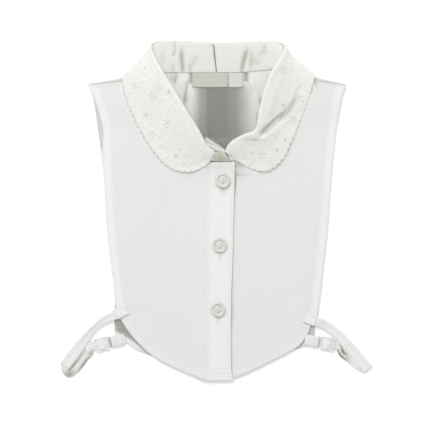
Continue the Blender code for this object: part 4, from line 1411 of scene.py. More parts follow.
@dataclass
class Placket(Panel):
    """The buttonhole placket down the centre front."""

    seam_x: float = -4.75
    ply: float = 0.8
    columns: int = 34
    rows: int = 230
    buttons: tuple[Spot, ...] = ()

    def build(self) -> bpy.types.Object:
        """Make and dress it."""
        edge = curve_at(PLACKET_EDGE, np.linspace(0, 1, self.rows))[:, :2]
        across = close_ends(self.columns)
        start = np.column_stack([np.full(self.rows, self.seam_x), edge[:, 1] - 0.3])
        flat = start[:, None] + (edge - start)[:, None] * across[None, :, None]
        x, y = flat[..., 0], flat[..., 1]
        z = self.layers.placket(x, y) + relief(self.creases, x, y)
        half = self.ply / 2 * (0.6 + 0.4 * eased((x - self.seam_x) / 3.0) * (0.5 + 0.5 * eased(nearest(edge, x, y) / 3.0)))
        # Painted shade under the collar, at the placket's top
        shade = 0.16 * eased((y - 26.0) / 9.0)
        made = cloth("placket_band", Shell(np.dstack([flat, z]), half, half, 0.9), POPLIN, 0.8, shade)
        surface = Surface(made)
        seam = Seam(surface)
        for away in (1.6, 17.4):
            line = np.column_stack([self.seam_x + away + 0 * edge[4:-4, 0], edge[4:-4, 1]])
            seam.sew(line if away < 5 else np.column_stack([edge[4:-4, 0] - 1.5, edge[4:-4, 1]]))
        bottom = edge[-1, 1] + 5.0
        seam.sew(np.array([(self.seam_x + 1.6, bottom), (edge[-1, 0] - 1.6, bottom + 0.3)]))
        stitches = seam.built("placket_stitches")
        holes = self.buttonholes(surface)
        turned = self.turned_seam(edge[:, 1] - 0.3)
        cut = Cut((20.6, 166.0), "laid", ("left_front_cloth",), 3250)
        hand_over(made, ["placket"], cut, [stitches, holes, turned])
        return made

    def turned_seam(self, y: Array) -> bpy.types.Object:
        """The seam's turned edge, which closes the line between the placket and the right front."""
        share = np.linspace(-1, 1, 7)[None, :]
        x = self.seam_x - 0.25 + 0.75 * share
        level = self.layers.placket(0 * share + self.seam_x, y[:, None]) + 0.33 + 0 * x
        ease = self.layers.placket_ease * eased((y[:, None] - self.layers.ease_starts_y) / self.layers.ease_length)
        level = level - ease * eased((0.4 - share) / 1.2) - 0.03 * share**2
        grid = np.dstack([x + 0 * level, y[:, None] + 0 * level, level])
        # The same painted shade under the collar, at the seam's top
        tone = 0.16 * eased((y[:, None] - 26.0) / 9.0) + 0 * share
        return cloth("placket_seam", Shell(grid, 0.05, 0.05, 0.4), POPLIN, 0.4 + 0.3 * share + 0 * level, tone)

    def buttonholes(self, surface: Surface) -> bpy.types.Object:
        """Work a buttonhole from under each button downwards."""
        parts = Parts()
        for x, y in self.buttons:
            for side in (-1, 1):
                foot = np.array([(x + side * 0.85, y + 3.0 - n * 0.42) for n in range(32)])
                starts, ends, ups = [], [], []
                for px, py in foot:
                    first, last = surface.under(px - side * 0.5, py), surface.under(px + side * 0.55, py)
                    if first is None or last is None:
                        continue
                    starts.append(first[0])
                    ends.append(last[0])
                    ups.append(first[1])
                capsules(parts, np.array(starts), np.array(ends), np.array(ups), 0.46, 0.5)
            bar = [surface.under(x + dx, y - 10.5) for dx in (-1.5, 1.5)]
            if all(bar):
                capsules(parts, np.array([bar[0][0]]), np.array([bar[1][0]]), np.array([bar[0][1]]), 0.8, 0.6)
        return parts.built("buttonholes", EMBROIDERY)


# Collar


class Side(Enum):
    """The wearer's side, with its sign."""

    RIGHT = 1
    LEFT = -1


class Motif(Enum):
    """The kinds of small ornament on the collar."""

    FLOWER = "five petals round an eyelet"
    DAISY = "four dots round an eyelet"
    RING = "large worked eyelet"
    EYELET = "small worked eyelet"
    SPRIG = "two leaves"
    SEED = "two short stitches"


@dataclass(frozen=True)
class Ornament:
    """One ornament on the leaf."""

    kind: Motif
    x: float
    y: float
    turn: float = 0.0
    size: float = 1.0


@dataclass(frozen=True)
class Valley:
    """A valley pressed into the leaf along a bent path."""

    path: tuple[Spot, ...]
    depth: float
    half_width: float
    sharpness: float = 1.0  # more than 1 makes it narrow with spreading banks

    def at(self, x: Array, y: Array) -> Array:
        """How deep it is at places, from 0 to its depth.

        Args:
            x: Places across.
            y: Places along.

        Returns:
            The depth there.
        """
        keys = [Key(n / (len(self.path) - 1), *spot) for n, spot in enumerate(self.path)]
        points = curve_at(keys, np.linspace(0, 1, 160))[:, :2]
        places = np.stack([x, y], axis=-1)
        squares = ((places[..., None, :] - points) ** 2).sum(axis=-1)
        along = squares.argmin(axis=-1) / (len(points) - 1)
        away = np.sqrt(squares.min(axis=-1)) / self.half_width
        return self.depth * (1 - eased(away)) ** self.sharpness * eased(along / 0.3) * eased((1 - along) / 0.2)


def bezier(start: Array, leave: Array, arrive: Array, end: Array, steps: int) -> Array:
    """Points on a cubic curve from start to end, both included."""
    u = np.linspace(0, 1, steps + 1)[:, None]
    v = 1 - u
    return v**3 * start + 3 * v * v * u * leave + 3 * v * u * u * arrive + u**3 * end


@dataclass
class CollarHalf:
    """One half of the collar: stand, roll and embroidered leaf."""

    side: Side
    roll: Sequence[Key]
    edge: Sequence[Key]
    seam: Sequence[Key]
    valley: Valley
    front_height: Callable[[Array, Array], Array]
    layers: Layers
    stand_creases: tuple[Crease, ...] = ()
    leaf_creases: tuple[Crease, ...] = ()
    ornaments: tuple[Ornament, ...] = ()
    hidden_ornaments: tuple[Ornament, ...] = ()
    ply: float = 0.7
    stand_steps: int = 26
    roll_steps: int = 12
    leaf_steps: int = 52
    scallop_pitch: float = 4.6
    scallop_depth: float = 1.25
    shoulder_share: float = 0.31
    wrap_end_share: float = 0.40
    leaf_air: float = 0.76
    end_air: float = 0.7  # more air under the leaf near its front end
    scattered: tuple[Ornament, ...] = ()

    def stations(self) -> list[tuple[float, float]]:
        """Each station's share and how far its scallop stands out, -0.5 to 0.5."""
        shares = np.linspace(0, 1, 2401)
        points = curve_at(self.edge, shares)
        lengths = np.concatenate([[0], np.cumsum(np.linalg.norm(np.diff(points, axis=0), axis=1))])
        shoulder, wrapped = np.interp((self.shoulder_share, self.wrap_end_share), shares, lengths)
        stations = []
        for start, end, pitch in ((0.0, shoulder, 1.7), (shoulder, wrapped, 0.6)):
            for place in np.linspace(start, end, round((end - start) / pitch), endpoint=False):
                stations.append((float(np.interp(place, lengths, shares)), 0.0))
        lobes = round((lengths[-1] - wrapped) / self.scallop_pitch)
        steps = 8
        for n in range(lobes * steps + 1):
            place = wrapped + (lengths[-1] - wrapped) * n / (lobes * steps)
            stand_out = abs(math.sin(math.pi * n / steps)) ** 0.7 - 0.5
            grown = min(1.0, n / steps)
            stations.append((float(np.interp(place, lengths, shares)), stand_out * grown))
        return stations

    def seam_height(self, share: float, x: float, y: float) -> float:
        """The neck seam passes from the back up to the front."""
        on_front = float(eased((share - 0.29) / 0.06))
        low = float(self.layers.back(x, y))
        high = float(self.front_height(np.array([x]), np.array([y]))[0])
        return low * (1 - on_front) + high * on_front

    def section(self, share: float, stand_out: float) -> Array:
        """Follow the cloth from the neck seam up the stand, over the roll and down the leaf.

        Args:
            share: How far round the collar.
            stand_out: How far the scallop stands out there.

        Returns:
            Rows of x, y, z.
        """
        roll, edge, seam = (curve_at(keys, share)[0] for keys in (self.roll, self.edge, self.seam))
        seam[2] = self.seam_height(share, seam[0], seam[1])
        shares = [fold.share for fold in FOLDS]
        facing = math.radians(np.interp(share, shares, [fold.facing for fold in FOLDS]))
        radius = float(np.interp(share, shares, [fold.radius for fold in FOLDS]))
        tilt = float(np.interp(share, shares, [fold.tilt for fold in FOLDS]))
        roll[2] = max(roll[2], self.layers.lowest + radius)
        sign = self.side.value
        flat_apex = -unit(unit((edge - roll)[:2]) + unit((seam - roll)[:2]))
        apex = unit(np.array([flat_apex[0], flat_apex[1], tilt]))
        level = sign * np.array([-flat_apex[1], flat_apex[0], 0.0])
        upward = unit(np.cross(apex, level) * sign)
        outside = math.cos(facing) * level + math.sin(facing) * upward
        centre = roll - radius * apex
        stand_top, leaf_top = centre - radius * outside, centre + radius * outside
        reach = float(np.linalg.norm(stand_top - seam))
        foot = seam + np.array([0, 0, 0.55])
        rising = foot + 0.35 * (stand_top - foot)
        stand = bezier(foot, rising, stand_top - 0.35 * reach * apex, stand_top, self.stand_steps)
        angles = math.pi * (np.arange(1, self.roll_steps) / self.roll_steps - 0.5)[:, None]
        turned = centre + radius * (np.cos(angles) * apex + np.sin(angles) * outside)
        outward = unit(np.append((edge - leaf_top)[:2], 0.0))
        reach = float(np.linalg.norm(edge - leaf_top))
        leaf = bezier(leaf_top, leaf_top - 0.35 * reach * apex, edge - 0.35 * reach * outward, edge, self.leaf_steps)
        near_edge = eased((np.linspace(0, 1, self.leaf_steps + 1) - 0.75) / 0.25)[:, None]
        leaf = leaf + outward * self.scallop_depth * stand_out * near_edge
        return np.vstack([stand, turned, leaf])

    def grid(self) -> tuple[Array, Array]:
        """The half's grid of middle points and each station's share."""
        stations = self.stations()
        grid = np.array([self.section(share, stand_out) for share, stand_out in stations])
        shares = np.array([share for share, _ in stations])
        first = self.stand_steps + self.roll_steps
        leaf = grid[:, first:]
        leaf[..., 2] = np.maximum(leaf[..., 2], self.layers.lowest)
        shown = eased((shares - 0.385) / 0.03)[:, None]
        x, y = leaf[..., 0], leaf[..., 1]
        body = np.sin(math.pi * np.linspace(0.0, 0.5, leaf.shape[1])) ** 0.5
        pressed = leaf[..., 2] - self.valley.at(x, y) + relief(self.leaf_creases, x, y) * body
        air = self.leaf_air + self.end_air * eased((shares - 0.84) / 0.08)[:, None] * (1.0 - 0.75 * self.near_edge(shares)[:, first:])
        air = air - 0.4 * self.near_edge(shares)[:, first:]
        pressed = np.maximum(pressed, self.front_height(x, y) + air)
        leaf[..., 2] = leaf[..., 2] * (1 - shown) + pressed * shown
        stand = grid[:, : self.stand_steps + 1]
        held = np.sin(math.pi * np.linspace(0, 1, self.stand_steps + 1)) ** 0.6
        at_back = 1.0 - eased((shares - 0.26) / 0.08)[:, None]
        lift = relief(self.stand_creases, stand[..., 0], stand[..., 1]) * held * at_back
        stand[..., 2] += np.maximum(lift, np.minimum(0.0, 1.25 - stand[..., 2]))
        return grid, shares

    def near_edge(self, shares: Array) -> Array:
        """1 at the shown leaf's outer edge, where the cloth is pressed thin, 0 away from it."""
        columns = self.stand_steps + self.roll_steps + self.leaf_steps + 1
        return eased((np.arange(columns) - columns + 10) / 9.0)[None, :] * eased((shares - 0.385) / 0.03)[:, None]

    def tone(self, grid: Array, shares: Array) -> Array:
        """How shaded the cloth is: the plain stand a little, the valley and the stand's troughs more.

        Args:
            grid: The half's middle points.
            shares: Each station's share.

        Returns:
            A number for each point, 0 to 1.
        """
        x, y = grid[..., 0], grid[..., 1]
        columns = np.arange(grid.shape[1])[None, :]
        on_stand = self.on_stand()
        on_leaf = eased((columns - self.stand_steps - self.roll_steps) / 6.0)
        shown = eased((shares - 0.385) / 0.03)[:, None]
        pressed = np.clip(self.valley.at(x + 0.7, y - 0.7) / 4.2, 0, 1) ** 1.3 * shown * on_leaf
        troughs = np.clip(-relief(self.stand_creases, x, y), 0, 1) * on_stand * (1 - shown)
        folded = np.clip(-relief(self.leaf_creases, x, y), 0, 1) * shown * on_leaf
        fold_line = np.exp(-(((columns - self.stand_steps - 5.0) / 2.0) ** 2)) * (1 - shown)
        return np.clip(0.05 * on_stand + 0.62 * pressed + 0.85 * troughs + 0.5 * folded + 0.6 * fold_line, 0, 1)

    def on_stand(self) -> Array:
        """1 on the stand, fading to 0 over the roll, for each column."""
        columns = np.arange(self.stand_steps + self.roll_steps + self.leaf_steps + 1)[None, :]
        return 1.0 - eased((columns - self.stand_steps + 14) / (self.roll_steps + 12.0))

    def build(self) -> bpy.types.Object:
        """Make and dress the half."""
        name = self.side.name.lower()
        grid, shares = self.grid()
        tone = self.tone(grid, shares)
        half = self.ply / 2 * (1.0 - 0.5 * self.near_edge(shares))
        # Painted shade on the stand at the back, in the collar cloth's grey second colour
        stand_painted_shade = 0.5 * self.on_stand() * (1.0 - 0.75 * eased((shares - 0.20) / 0.12))[:, None]
        made = cloth(f"collar_{name}_cloth", Shell(grid, half, half, 0.4), COLLAR_CLOTH, stand_painted_shade, tone)
        surface = Surface(made)
        rim = self.satin_edge(grid, shares)
        self.scattered = self.ground(grid, shares)
        extras = [rim, *self.embroider(surface), self.sewn(surface, grid, shares)]
        if self.side is Side.LEFT:
            extras.append(self.facing())
        cut = Cut((62.0, 215.0), "folded", ("back_cloth", f"{name}_front_cloth"), 8600)
        hand_over(made, [f"collar_{name}"], cut, extras)
        return made

    def ground(self, grid: Array, shares: Array) -> tuple[Ornament, ...]:
        """Scatter small stitches over the leaf between its ornaments."""
        dice = np.random.default_rng(11 + self.side.value)
        reach = {Motif.FLOWER: 5.4, Motif.DAISY: 4.6, Motif.RING: 4.8, Motif.EYELET: 2.9, Motif.SPRIG: 3.8}
        taken = [(one.x, one.y, reach[one.kind]) for one in self.ornaments]
        rows, first = np.flatnonzero(shares > 0.42), self.stand_steps + self.roll_steps
        made = []
        for _ in range(1500):
            row, column = int(dice.choice(rows)), first + int(dice.integers(5, self.leaf_steps - 5))
            x, y = grid[row, column, :2]
            if self.valley.at(x, y) < 0.8 and all(math.hypot(x - px, y - py) > away for px, py, away in taken):
                taken.append((x, y, 4.2))
                made.append(Ornament(Motif.SEED, float(x), float(y), float(dice.uniform(0, 360)), float(dice.uniform(0.8, 1.15))))
        return tuple(made)

    def facing(self) -> bpy.types.Object:
        """The strip that closes the centre back slit from below, a sheet of painted shade where the slit lies in
        shadow.
        """
        y = np.linspace(106.2, 126.8, 40)[:, None]
        share = np.linspace(-1, 1, 9)[None, :]
        middle, reach = np.interp(y, (106.2, 126.8), (1.9, -0.2)), np.interp(y, (106.2, 126.8), (1.5, 0.55))
        grid = np.dstack([middle + reach * share, y + 0 * share, 0.62 + 0 * (y + share)])
        return cloth("collar_slit_painted_shade", Shell(grid, 0.1, 0.1, 0.5), COLLAR_CLOTH, 0.0, 1.0)

    def satin_edge(self, grid: Array, shares: Array) -> bpy.types.Object:
        """Bind the scalloped edge with close satin stitch over a cord."""
        line = evenly(grid[shares >= 0.345, -1], 0.4)
        parts = Parts()
        line = line + np.array([0, 0, 0.05])
        line[:, 2] = np.maximum(line[:, 2], 0.52)
        tube(parts, line, 0.26, 8)
        shown = shares >= 0.41
        rims = [grid[shown, -1], grid[shown, -4], grid_normals(grid)[shown, -2]]
        lengths = np.concatenate([[0], np.cumsum(np.linalg.norm(np.diff(rims[0], axis=0), axis=1))])
        wanted = np.arange(0, lengths[-1], 0.48)
        outer, inner, normals = (
            np.column_stack([np.interp(wanted, lengths, rim[:, n]) for n in range(3)]) for rim in rims
        )
        ups = normals * np.sign(normals[:, 2:])
        inner = outer + unit(inner - outer) * 1.9
        capsules(parts, outer + ups * 0.14, inner + ups * 0.2, ups, 0.5, 0.32)
        return parts.built(f"collar_{self.side.name.lower()}_edge", EMBROIDERY)

    def sewn(self, surface: Surface, grid: Array, shares: Array) -> bpy.types.Object:
        """Topstitch the foot of the stand and just below the roll, where they show from above."""
        seam = Seam(surface, pitch=2.0, length=1.5)
        back = grid[shares <= 0.30]
        for row in (2, self.stand_steps - 3):
            seam.sew(back[:, row, :2])
        return seam.built(f"collar_{self.side.name.lower()}_stitches")

    def embroider(self, surface: Surface) -> list[bpy.types.Object]:
        """Work the ornaments, as one piece of thread and one of the eyelets' shade."""
        thread, shade = Parts(), Parts()
        for from_below, ornaments in ((False, self.ornaments + self.scattered), (True, self.hidden_ornaments)):
            for ornament in ornaments:
                Needle(surface, thread, shade, ornament, from_below).work()
        name = self.side.name.lower()
        return [
            thread.built(f"collar_{name}_embroidery", EMBROIDERY),
            shade.built(f"collar_{name}_eyelets", EYELET_SHADE, {"double_ply_and_painted_light": np.zeros(shade.count), "painted_shade": np.zeros(shade.count)}),
        ]


@dataclass
class Needle:
    """Works one ornament on the leaf."""

    surface: Surface
    thread: Parts
    shade: Parts
    ornament: Ornament
    from_below: bool

    def put(self, parts: Parts, template: Array, faces: Iterable[Sequence[int]], at: Spot = (0.0, 0.0)) -> None:
        """Lay a shape at a place within the ornament."""
        one = self.ornament
        moved = template + np.array([at[0], at[1], 0.0])
        moved = moved * np.array([one.size, one.size, 0.7 if self.from_below else 1.0])
        laid = self.surface.lay(moved, one.x, one.y, one.turn, self.from_below)
        if laid is not None:
            parts.add(laid, faces)

    def petal(self, angle: float, away: float, length: float, width: float, height: float = 0.34) -> None:
        """Work a padded petal pointing away from the middle.

        Args:
            angle: Its heading in degrees.
            away: How far its middle is from the ornament's.
            length: Its length.
            width: Its width.
            height: How far it stands proud.
        """
        around, rings = 12, ((1.0, -0.12), (0.92, 0.45), (0.7, 0.8), (0.35, 0.97))
        turn = math.radians(angle)
        points = []
        for girth, rise in rings:
            for n in range(around):
                a = 2 * math.pi * n / around
                u, v = girth * math.cos(a) * length / 2, girth * math.sin(a) * width / 2
                ribbed = 1.0 + 0.08 * math.cos(3 * a)
                points.append((u, v, rise * height * ribbed))
        points.append((0.0, 0.0, height))
        template = np.array(points)
        cos, sin = math.cos(turn), math.sin(turn)
        flat = template[:, :2] + np.array([away, 0.0])
        turned = np.column_stack([flat[:, 0] * cos - flat[:, 1] * sin, flat[:, 0] * sin + flat[:, 1] * cos, template[:, 2]])
        faces = []
        for i in range(len(rings) - 1):
            for j in range(around):
                k = (j + 1) % around
                faces.append((i * around + j, i * around + k, (i + 1) * around + k, (i + 1) * around + j))
        last = (len(rings) - 1) * around
        faces += [(last + j, last + (j + 1) % around, len(points) - 1) for j in range(around)]
        faces.append(tuple(reversed(range(around))))
        self.put(self.thread, turned, faces)

    def eyelet(self, radius: float, cord: float, at: Spot = (0.0, 0.0)) -> None:
        """Work a ring round a small hole.

        Args:
            radius: The ring's radius.
            cord: Its thickness.
            at: Its place within the ornament.
        """
        around, sides = 18, 6
        points = []
        for n in range(around):
            a = 2 * math.pi * n / around
            for m in range(sides):
                b = 2 * math.pi * m / sides
                out = radius + cord / 2 * math.cos(b)
                points.append((out * math.cos(a), out * math.sin(a), cord / 2 * math.sin(b) + 0.1))
        faces = []
        for i in range(around):
            for j in range(sides):
                k, l = (i + 1) % around, (j + 1) % sides
                faces.append((i * sides + j, k * sides + j, k * sides + l, i * sides + l))
        self.put(self.thread, np.array(points), faces, at)
        self.hole(radius - cord * 0.45, at, 0.04)

    def hole(self, radius: float, at: Spot, level: float) -> None:
        """Shade a small round hole.

        Args:
            radius: Its radius.
            at: Its place within the ornament.
            level: How high it lies over the cloth.
        """
        angles = 2 * math.pi * np.arange(12) / 12
        disc = [(radius * math.cos(a), radius * math.sin(a), level) for a in angles] + [(0.0, 0.0, level)]
        fan = [(n, (n + 1) % 12, 12) for n in range(12)]
        self.put(self.shade, np.array(disc), fan, at)

    def work(self) -> None:
        """Work the ornament."""
        kind = self.ornament.kind
        if kind is Motif.FLOWER:
            for n in range(5):
                self.petal(90 + 72 * n, 2.35, 2.6, 2.0)
                turn = math.radians(90 + 72 * n)
                self.hole(0.5, (2.5 * math.cos(turn), 2.5 * math.sin(turn)), 0.37)
            self.eyelet(0.7, 0.42)
        elif kind is Motif.DAISY:
            for n in range(4):
                self.petal(45 + 90 * n, 1.9, 1.7, 1.5)
                turn = math.radians(45 + 90 * n)
                self.hole(0.32, (1.95 * math.cos(turn), 1.95 * math.sin(turn)), 0.37)
            self.eyelet(0.6, 0.4)
        elif kind is Motif.RING:
            self.eyelet(1.5, 0.6)
            for n in range(6):
                self.petal(60 * n, 2.7, 1.1, 0.9, 0.26)
        elif kind is Motif.EYELET:
            self.eyelet(0.85, 0.5)
        elif kind is Motif.SEED:
            self.petal(0, 0.8, 1.9, 1.0, 0.2)
            self.petal(125, 0.85, 1.6, 0.9, 0.2)
        else:
            self.petal(20, 1.4, 2.6, 1.2)
            self.petal(160, 1.4, 2.6, 1.2)


@dataclass
class Neckband:
    """The short piece of stand that shows between the collar's front ends, and the fold behind it."""

    foot: tuple[tuple[float, float, float], ...] = ((0.4, 37.8, 5.2), (11.9, 37.8, 5.2))
    top: tuple[tuple[float, float, float], ...] = ((0.5, 44.8, 8.7), (7.8, 44.9, 8.6))
    bow: float = 0.8
    ply: float = 0.7

    def build(self) -> bpy.types.Object:
        """Make and dress it."""
        foot, top = np.linspace(*self.foot, 26), np.linspace(*self.top, 26)
        u = np.linspace(0, 1, 22)[:, None, None]
        grid = foot[None] * (1 - u) + top[None] * u
        grid[..., 2] += self.bow * np.sin(math.pi * u[..., 0])
        x, y = grid[..., 0], grid[..., 1]
        folds = (Crease((2.2, 44.5), (3.4, 38.5), -0.22, 0.7), Crease((6.8, 44.5), (8.8, 39.0), 0.2, 0.9))
        grid[..., 2] += relief(folds, x, y)
        # Painted shade across the band, deepest a little left of its middle, with a touch of the collar cloth's grey
        # painted shade
        shade = 0.75 - 0.35 * np.abs(np.linspace(-0.8, 1.0, grid.shape[1]))[None, :] ** 1.5
        made = cloth("neckband_cloth", Shell(grid, self.ply / 2, self.ply / 2), COLLAR_CLOTH, 0.3, shade)
        seam = Seam(Surface(made), pitch=1.8, length=1.3)
        seam.sew(grid[-3, 1:-1, :2])
        stitches = seam.built("neckband_stitches")
        fold = self.inner_fold()
        cut = Cut((12.0, 10.0), "folded", ("placket_band",), 78)
        hand_over(made, ["neckband"], cut, [stitches, fold, self.under_ply()])
        return made

    def under_ply(self) -> bpy.types.Object:
        """The band's under ply, a little wider than the upper one."""
        foot = np.linspace((-1.4, 37.8, 4.5), (13.4, 37.8, 4.5), 30)
        top = np.linspace((-1.0, 45.0, 7.6), (9.6, 45.0, 7.6), 30)
        u = np.linspace(0, 1, 16)[:, None, None]
        # Painted shade over the whole under ply, with a touch of the collar cloth's grey painted shade
        return cloth("neckband_under_ply", Shell(foot[None] * (1 - u) + top[None] * u, 0.15, 0.15, 0.6), COLLAR_CLOTH, 0.3, 0.75)

    def inner_fold(self) -> bpy.types.Object:
        """The inside of the band, curling up behind it in two soft folds."""
        start, end = np.array([-6.4, 52.2, 7.0]), np.array([8.2, 45.4, 8.3])
        u, v = np.linspace(0, 1, 44)[:, None], np.linspace(0, 1, 40)[None, :]
        grid = np.zeros((44, 40, 3))
        grid[..., :2] = (start * (1 - u) + end * u)[:, None, :2]
        grid[..., 1] += 4.4 * v * (1 - 0.75 * u) - 5.2 * (1 - v) * (1 - 0.7 * u) + 0.5 * np.sin(math.pi * u)
        folds = np.abs(np.sin(math.pi * (2.6 * v + 0.5 + 0.25 * u))) ** 0.8
        grid[..., 2] = start[2] * (1 - u) + end[2] * u + (1.5 * folds - 1.4 * v**2) * (0.5 + 0.5 * np.sin(math.pi * u)) - 0.9 * (1 - v) ** 2
        # Painted shade in the folds' hollows and towards the back edge
        tone = 0.1 + 0.35 * (1 - folds) + 0.5 * v**4
        return cloth("neckband_inside", Shell(grid, 0.22, 0.22, 0.8), COLLAR_CLOTH, 0.0, tone)


# Straps


class Station(NamedTuple):
    """One place on the strap's middle with the direction across it and its roll in degrees."""

    middle: Array
    across: Array
    roll: float
    width: float


def smooth_route(points: Sequence[Spot], count: int) -> Array:
    """Evenly spaced places on a smooth curve through the points."""
    flat = np.array(points)
    lengths = np.concatenate([[0], np.cumsum(np.linalg.norm(np.diff(flat, axis=0), axis=1))])
    keys = [Key(s / lengths[-1], x, y) for s, (x, y) in zip(lengths, flat)]
    return curve_at(keys, np.linspace(0, 1, count))[:, :2]


@dataclass
class StrapSide:
    """One side's elastic strap with its turned end, its tab and its slider."""

    side: Side
    outward: Sequence[Spot]
    back: Sequence[Spot]
    slider: Spot
    tab: Spot
    layers: Layers
    outward_rolls: tuple[tuple[float, float], ...] = ((0.0, 0.0), (1.0, 0.0))
    outward_widths: tuple[tuple[float, float], ...] = ((0.0, 1.0), (1.0, 1.0))
    return_rolls: tuple[tuple[float, float], ...] = ((0.0, 0.0), (1.0, 0.0))
    return_widths: tuple[tuple[float, float], ...] = ((0.0, 1.0), (1.0, 1.0))
    shadows: tuple[tuple[float, float, float, float, float], ...] = ()  # along, reach, across, reach, depth
    width: float = 7.6
    thickness: float = 0.7
    start_drop: float = 0.45
    fold_radius: float = 0.8
    slot: float = 4.0
    bar: float = 1.0
    side_play: float = 0.3
    tab_reach: float = 5.0
    tail: float = 1.5
    extra: float = 0.1  # what a tab or turned end shows beside the strap
    gathers: float = 0.12

    def heading(self) -> Array:
        """The direction from the slider to the tab."""
        return unit(np.array(self.tab) - np.array(self.slider))

    def stations(self) -> list[Station]:
        """Places from the front, out to the fold, back through the slider and under the tab."""
        low, step = self.layers.lowest, self.layers.step
        made = []
        outward = smooth_route(self.outward, 57)
        headings = np.gradient(outward, axis=0)
        for n, ((x, y), heading) in enumerate(zip(outward, headings)):
            share = n / (len(outward) - 1)
            fall = float(eased((share - 0.5) / 0.45))
            height = (low + 2 * step - self.start_drop) * (1 - fall) + (low + 2 * self.fold_radius) * fall
            roll = float(np.interp(share, *zip(*self.outward_rolls)))
            width = float(np.interp(share, *zip(*self.outward_widths)))
            height += abs(math.sin(math.radians(roll))) * self.width * width * 0.25
            made.append(Station(np.array([x, y, height]), unit(np.array([-heading[1], heading[0], 0.0])), roll, width))
        tip, across = made[-1].middle, made[-1].across
        ahead = np.append(unit(headings[-1]), 0.0)
        centre = tip - np.array([0, 0, self.fold_radius])
        for angle in np.radians(np.arange(75, -76, -15)):
            turn = np.array([0, 0, self.fold_radius * math.sin(angle)]) + self.fold_radius * math.cos(angle) * ahead
            made.append(Station(centre + turn, across, 0.0, self.outward_widths[-1][1]))
        heading = self.heading()
        slider = np.array(self.slider)
        frame = 1.5 * self.bar + self.slot
        ends = [tuple(slider - heading * (frame + before)) for before in (4.0, 0.5)]
        inward = smooth_route([*self.back, *ends], 53)
        headings = np.gradient(inward, axis=0)
        for n, ((x, y), turned) in enumerate(zip(inward, headings)):
            share = n / (len(inward) - 1)
            roll = float(np.interp(share, *zip(*self.return_rolls)))
            width = float(np.interp(share, *zip(*self.return_widths)))
            rise = abs(math.sin(math.radians(roll))) * self.width * width / 2
            made.append(Station(np.array([x, y, low + rise]), unit(np.array([turned[1], -turned[0], 0.0])), roll, width))
        across = np.array([heading[1], -heading[0], 0.0])
        inner = self.bar / 2 + self.slot + 0.2
        run = float(np.linalg.norm(np.array(self.tab) - slider))
        over_bar = low + 1.0 + self.bar + 0.6
        for along, height in (
            (-inner, low),
            (-self.bar * 0.4, over_bar),
            (self.bar * 0.4, over_bar),
            (inner, low),
            (frame + 0.4, low),
            (run - self.tab_reach + self.tail, low + step),
            (run + self.tail, low + step),
        ):
            made.append(Station(np.array([*(slider + heading * along), height]), across, 0.0, 1.0))
        return made

    def grid(self) -> Array:
        """The strap's grid of middle points, rolled and ribbed."""
        stations = self.stations()
        rows = np.array([[*s.middle, *s.across, s.roll, s.width] for s in stations])
        lengths = np.concatenate([[0], np.cumsum(np.linalg.norm(np.diff(rows[:, :3], axis=0), axis=1))])
        wanted = np.arange(0, lengths[-1], 0.5)
        rows = np.column_stack([np.interp(wanted, lengths, rows[:, n]) for n in range(rows.shape[1])])
        weights = np.exp(-0.5 * (np.arange(-3, 4) / 1.3) ** 2)
        padded = np.pad(rows, ((3, 3), (0, 0)), mode="edge")
        smooth = sum(weight * padded[n : n + len(rows)] for n, weight in enumerate(weights)) / weights.sum()
        middle, across = smooth[:, :3], unit(smooth[:, 3:6])
        along = unit(np.gradient(middle, axis=0))
        normal = unit(np.cross(along, across))
        roll = np.radians(smooth[:, 6])[:, None]
        rolled = across * np.cos(roll) + normal * np.sin(roll)
        lifted = unit(np.cross(along, rolled))
        share = np.linspace(-0.5, 0.5, 31)
        ribs = 0.05 * np.cos(share * 2 * math.pi * 5) - 0.22 * np.exp(-((share / 0.12) ** 2))
        wave = 0.05 * np.sin(wanted * 2 * math.pi / 1.6)[:, None] * (1 - (2 * share) ** 2)[None]
        grid = middle[:, None] + rolled[:, None] * (share[None, :, None] * self.width * smooth[:, 7][:, None, None])
        return grid + lifted[:, None] * (ribs[None] + wave)[..., None]

    def build(self) -> None:
        """Make and dress the strap, its end, its tab and its slider."""
        name = self.side.name.lower()
        half = self.thickness / 2
        grid = self.grid()
        grid[..., 2] = np.maximum(grid[..., 2], half + 0.02)
        shell = Shell(grid, half, half, 0.5)
        parts = Parts()
        shell.add_to(parts)
        strap = parts.built(f"elastic_{name}", RIBBED_ELASTIC, {"shadow": shell.spread(self.shadow(grid))})
        length = float(np.linalg.norm(np.diff(grid[:, 15], axis=0), axis=1).sum())
        cut = Cut((10.0, length), "folded", ("back_cloth", f"{name}_front_cloth"), self.width * length)
        hand_over(strap, [f"strap_{name}"], cut)
        self.turned_end(grid)
        self.gathered_tab()
        self.clear_slider()

    def shadow(self, grid: Array) -> Array:
        """How deep in a fold each point of the strap lies, as the table of shadows tells it.

        Args:
            grid: The strap's middle points.

        Returns:
            A number for each point, 0 to 1.
        """
        share = np.linspace(-1, 1, grid.shape[1])[None, :]
        along = np.linspace(0, 1, grid.shape[0])[:, None]
        depth = np.zeros(grid.shape[:2])
        for place, reach, across, spread, most in self.shadows:
            spot = np.exp(-(((along - place) / reach) ** 2) - ((share - across) / spread) ** 2)
            depth = np.maximum(depth, most * spot)
        return depth

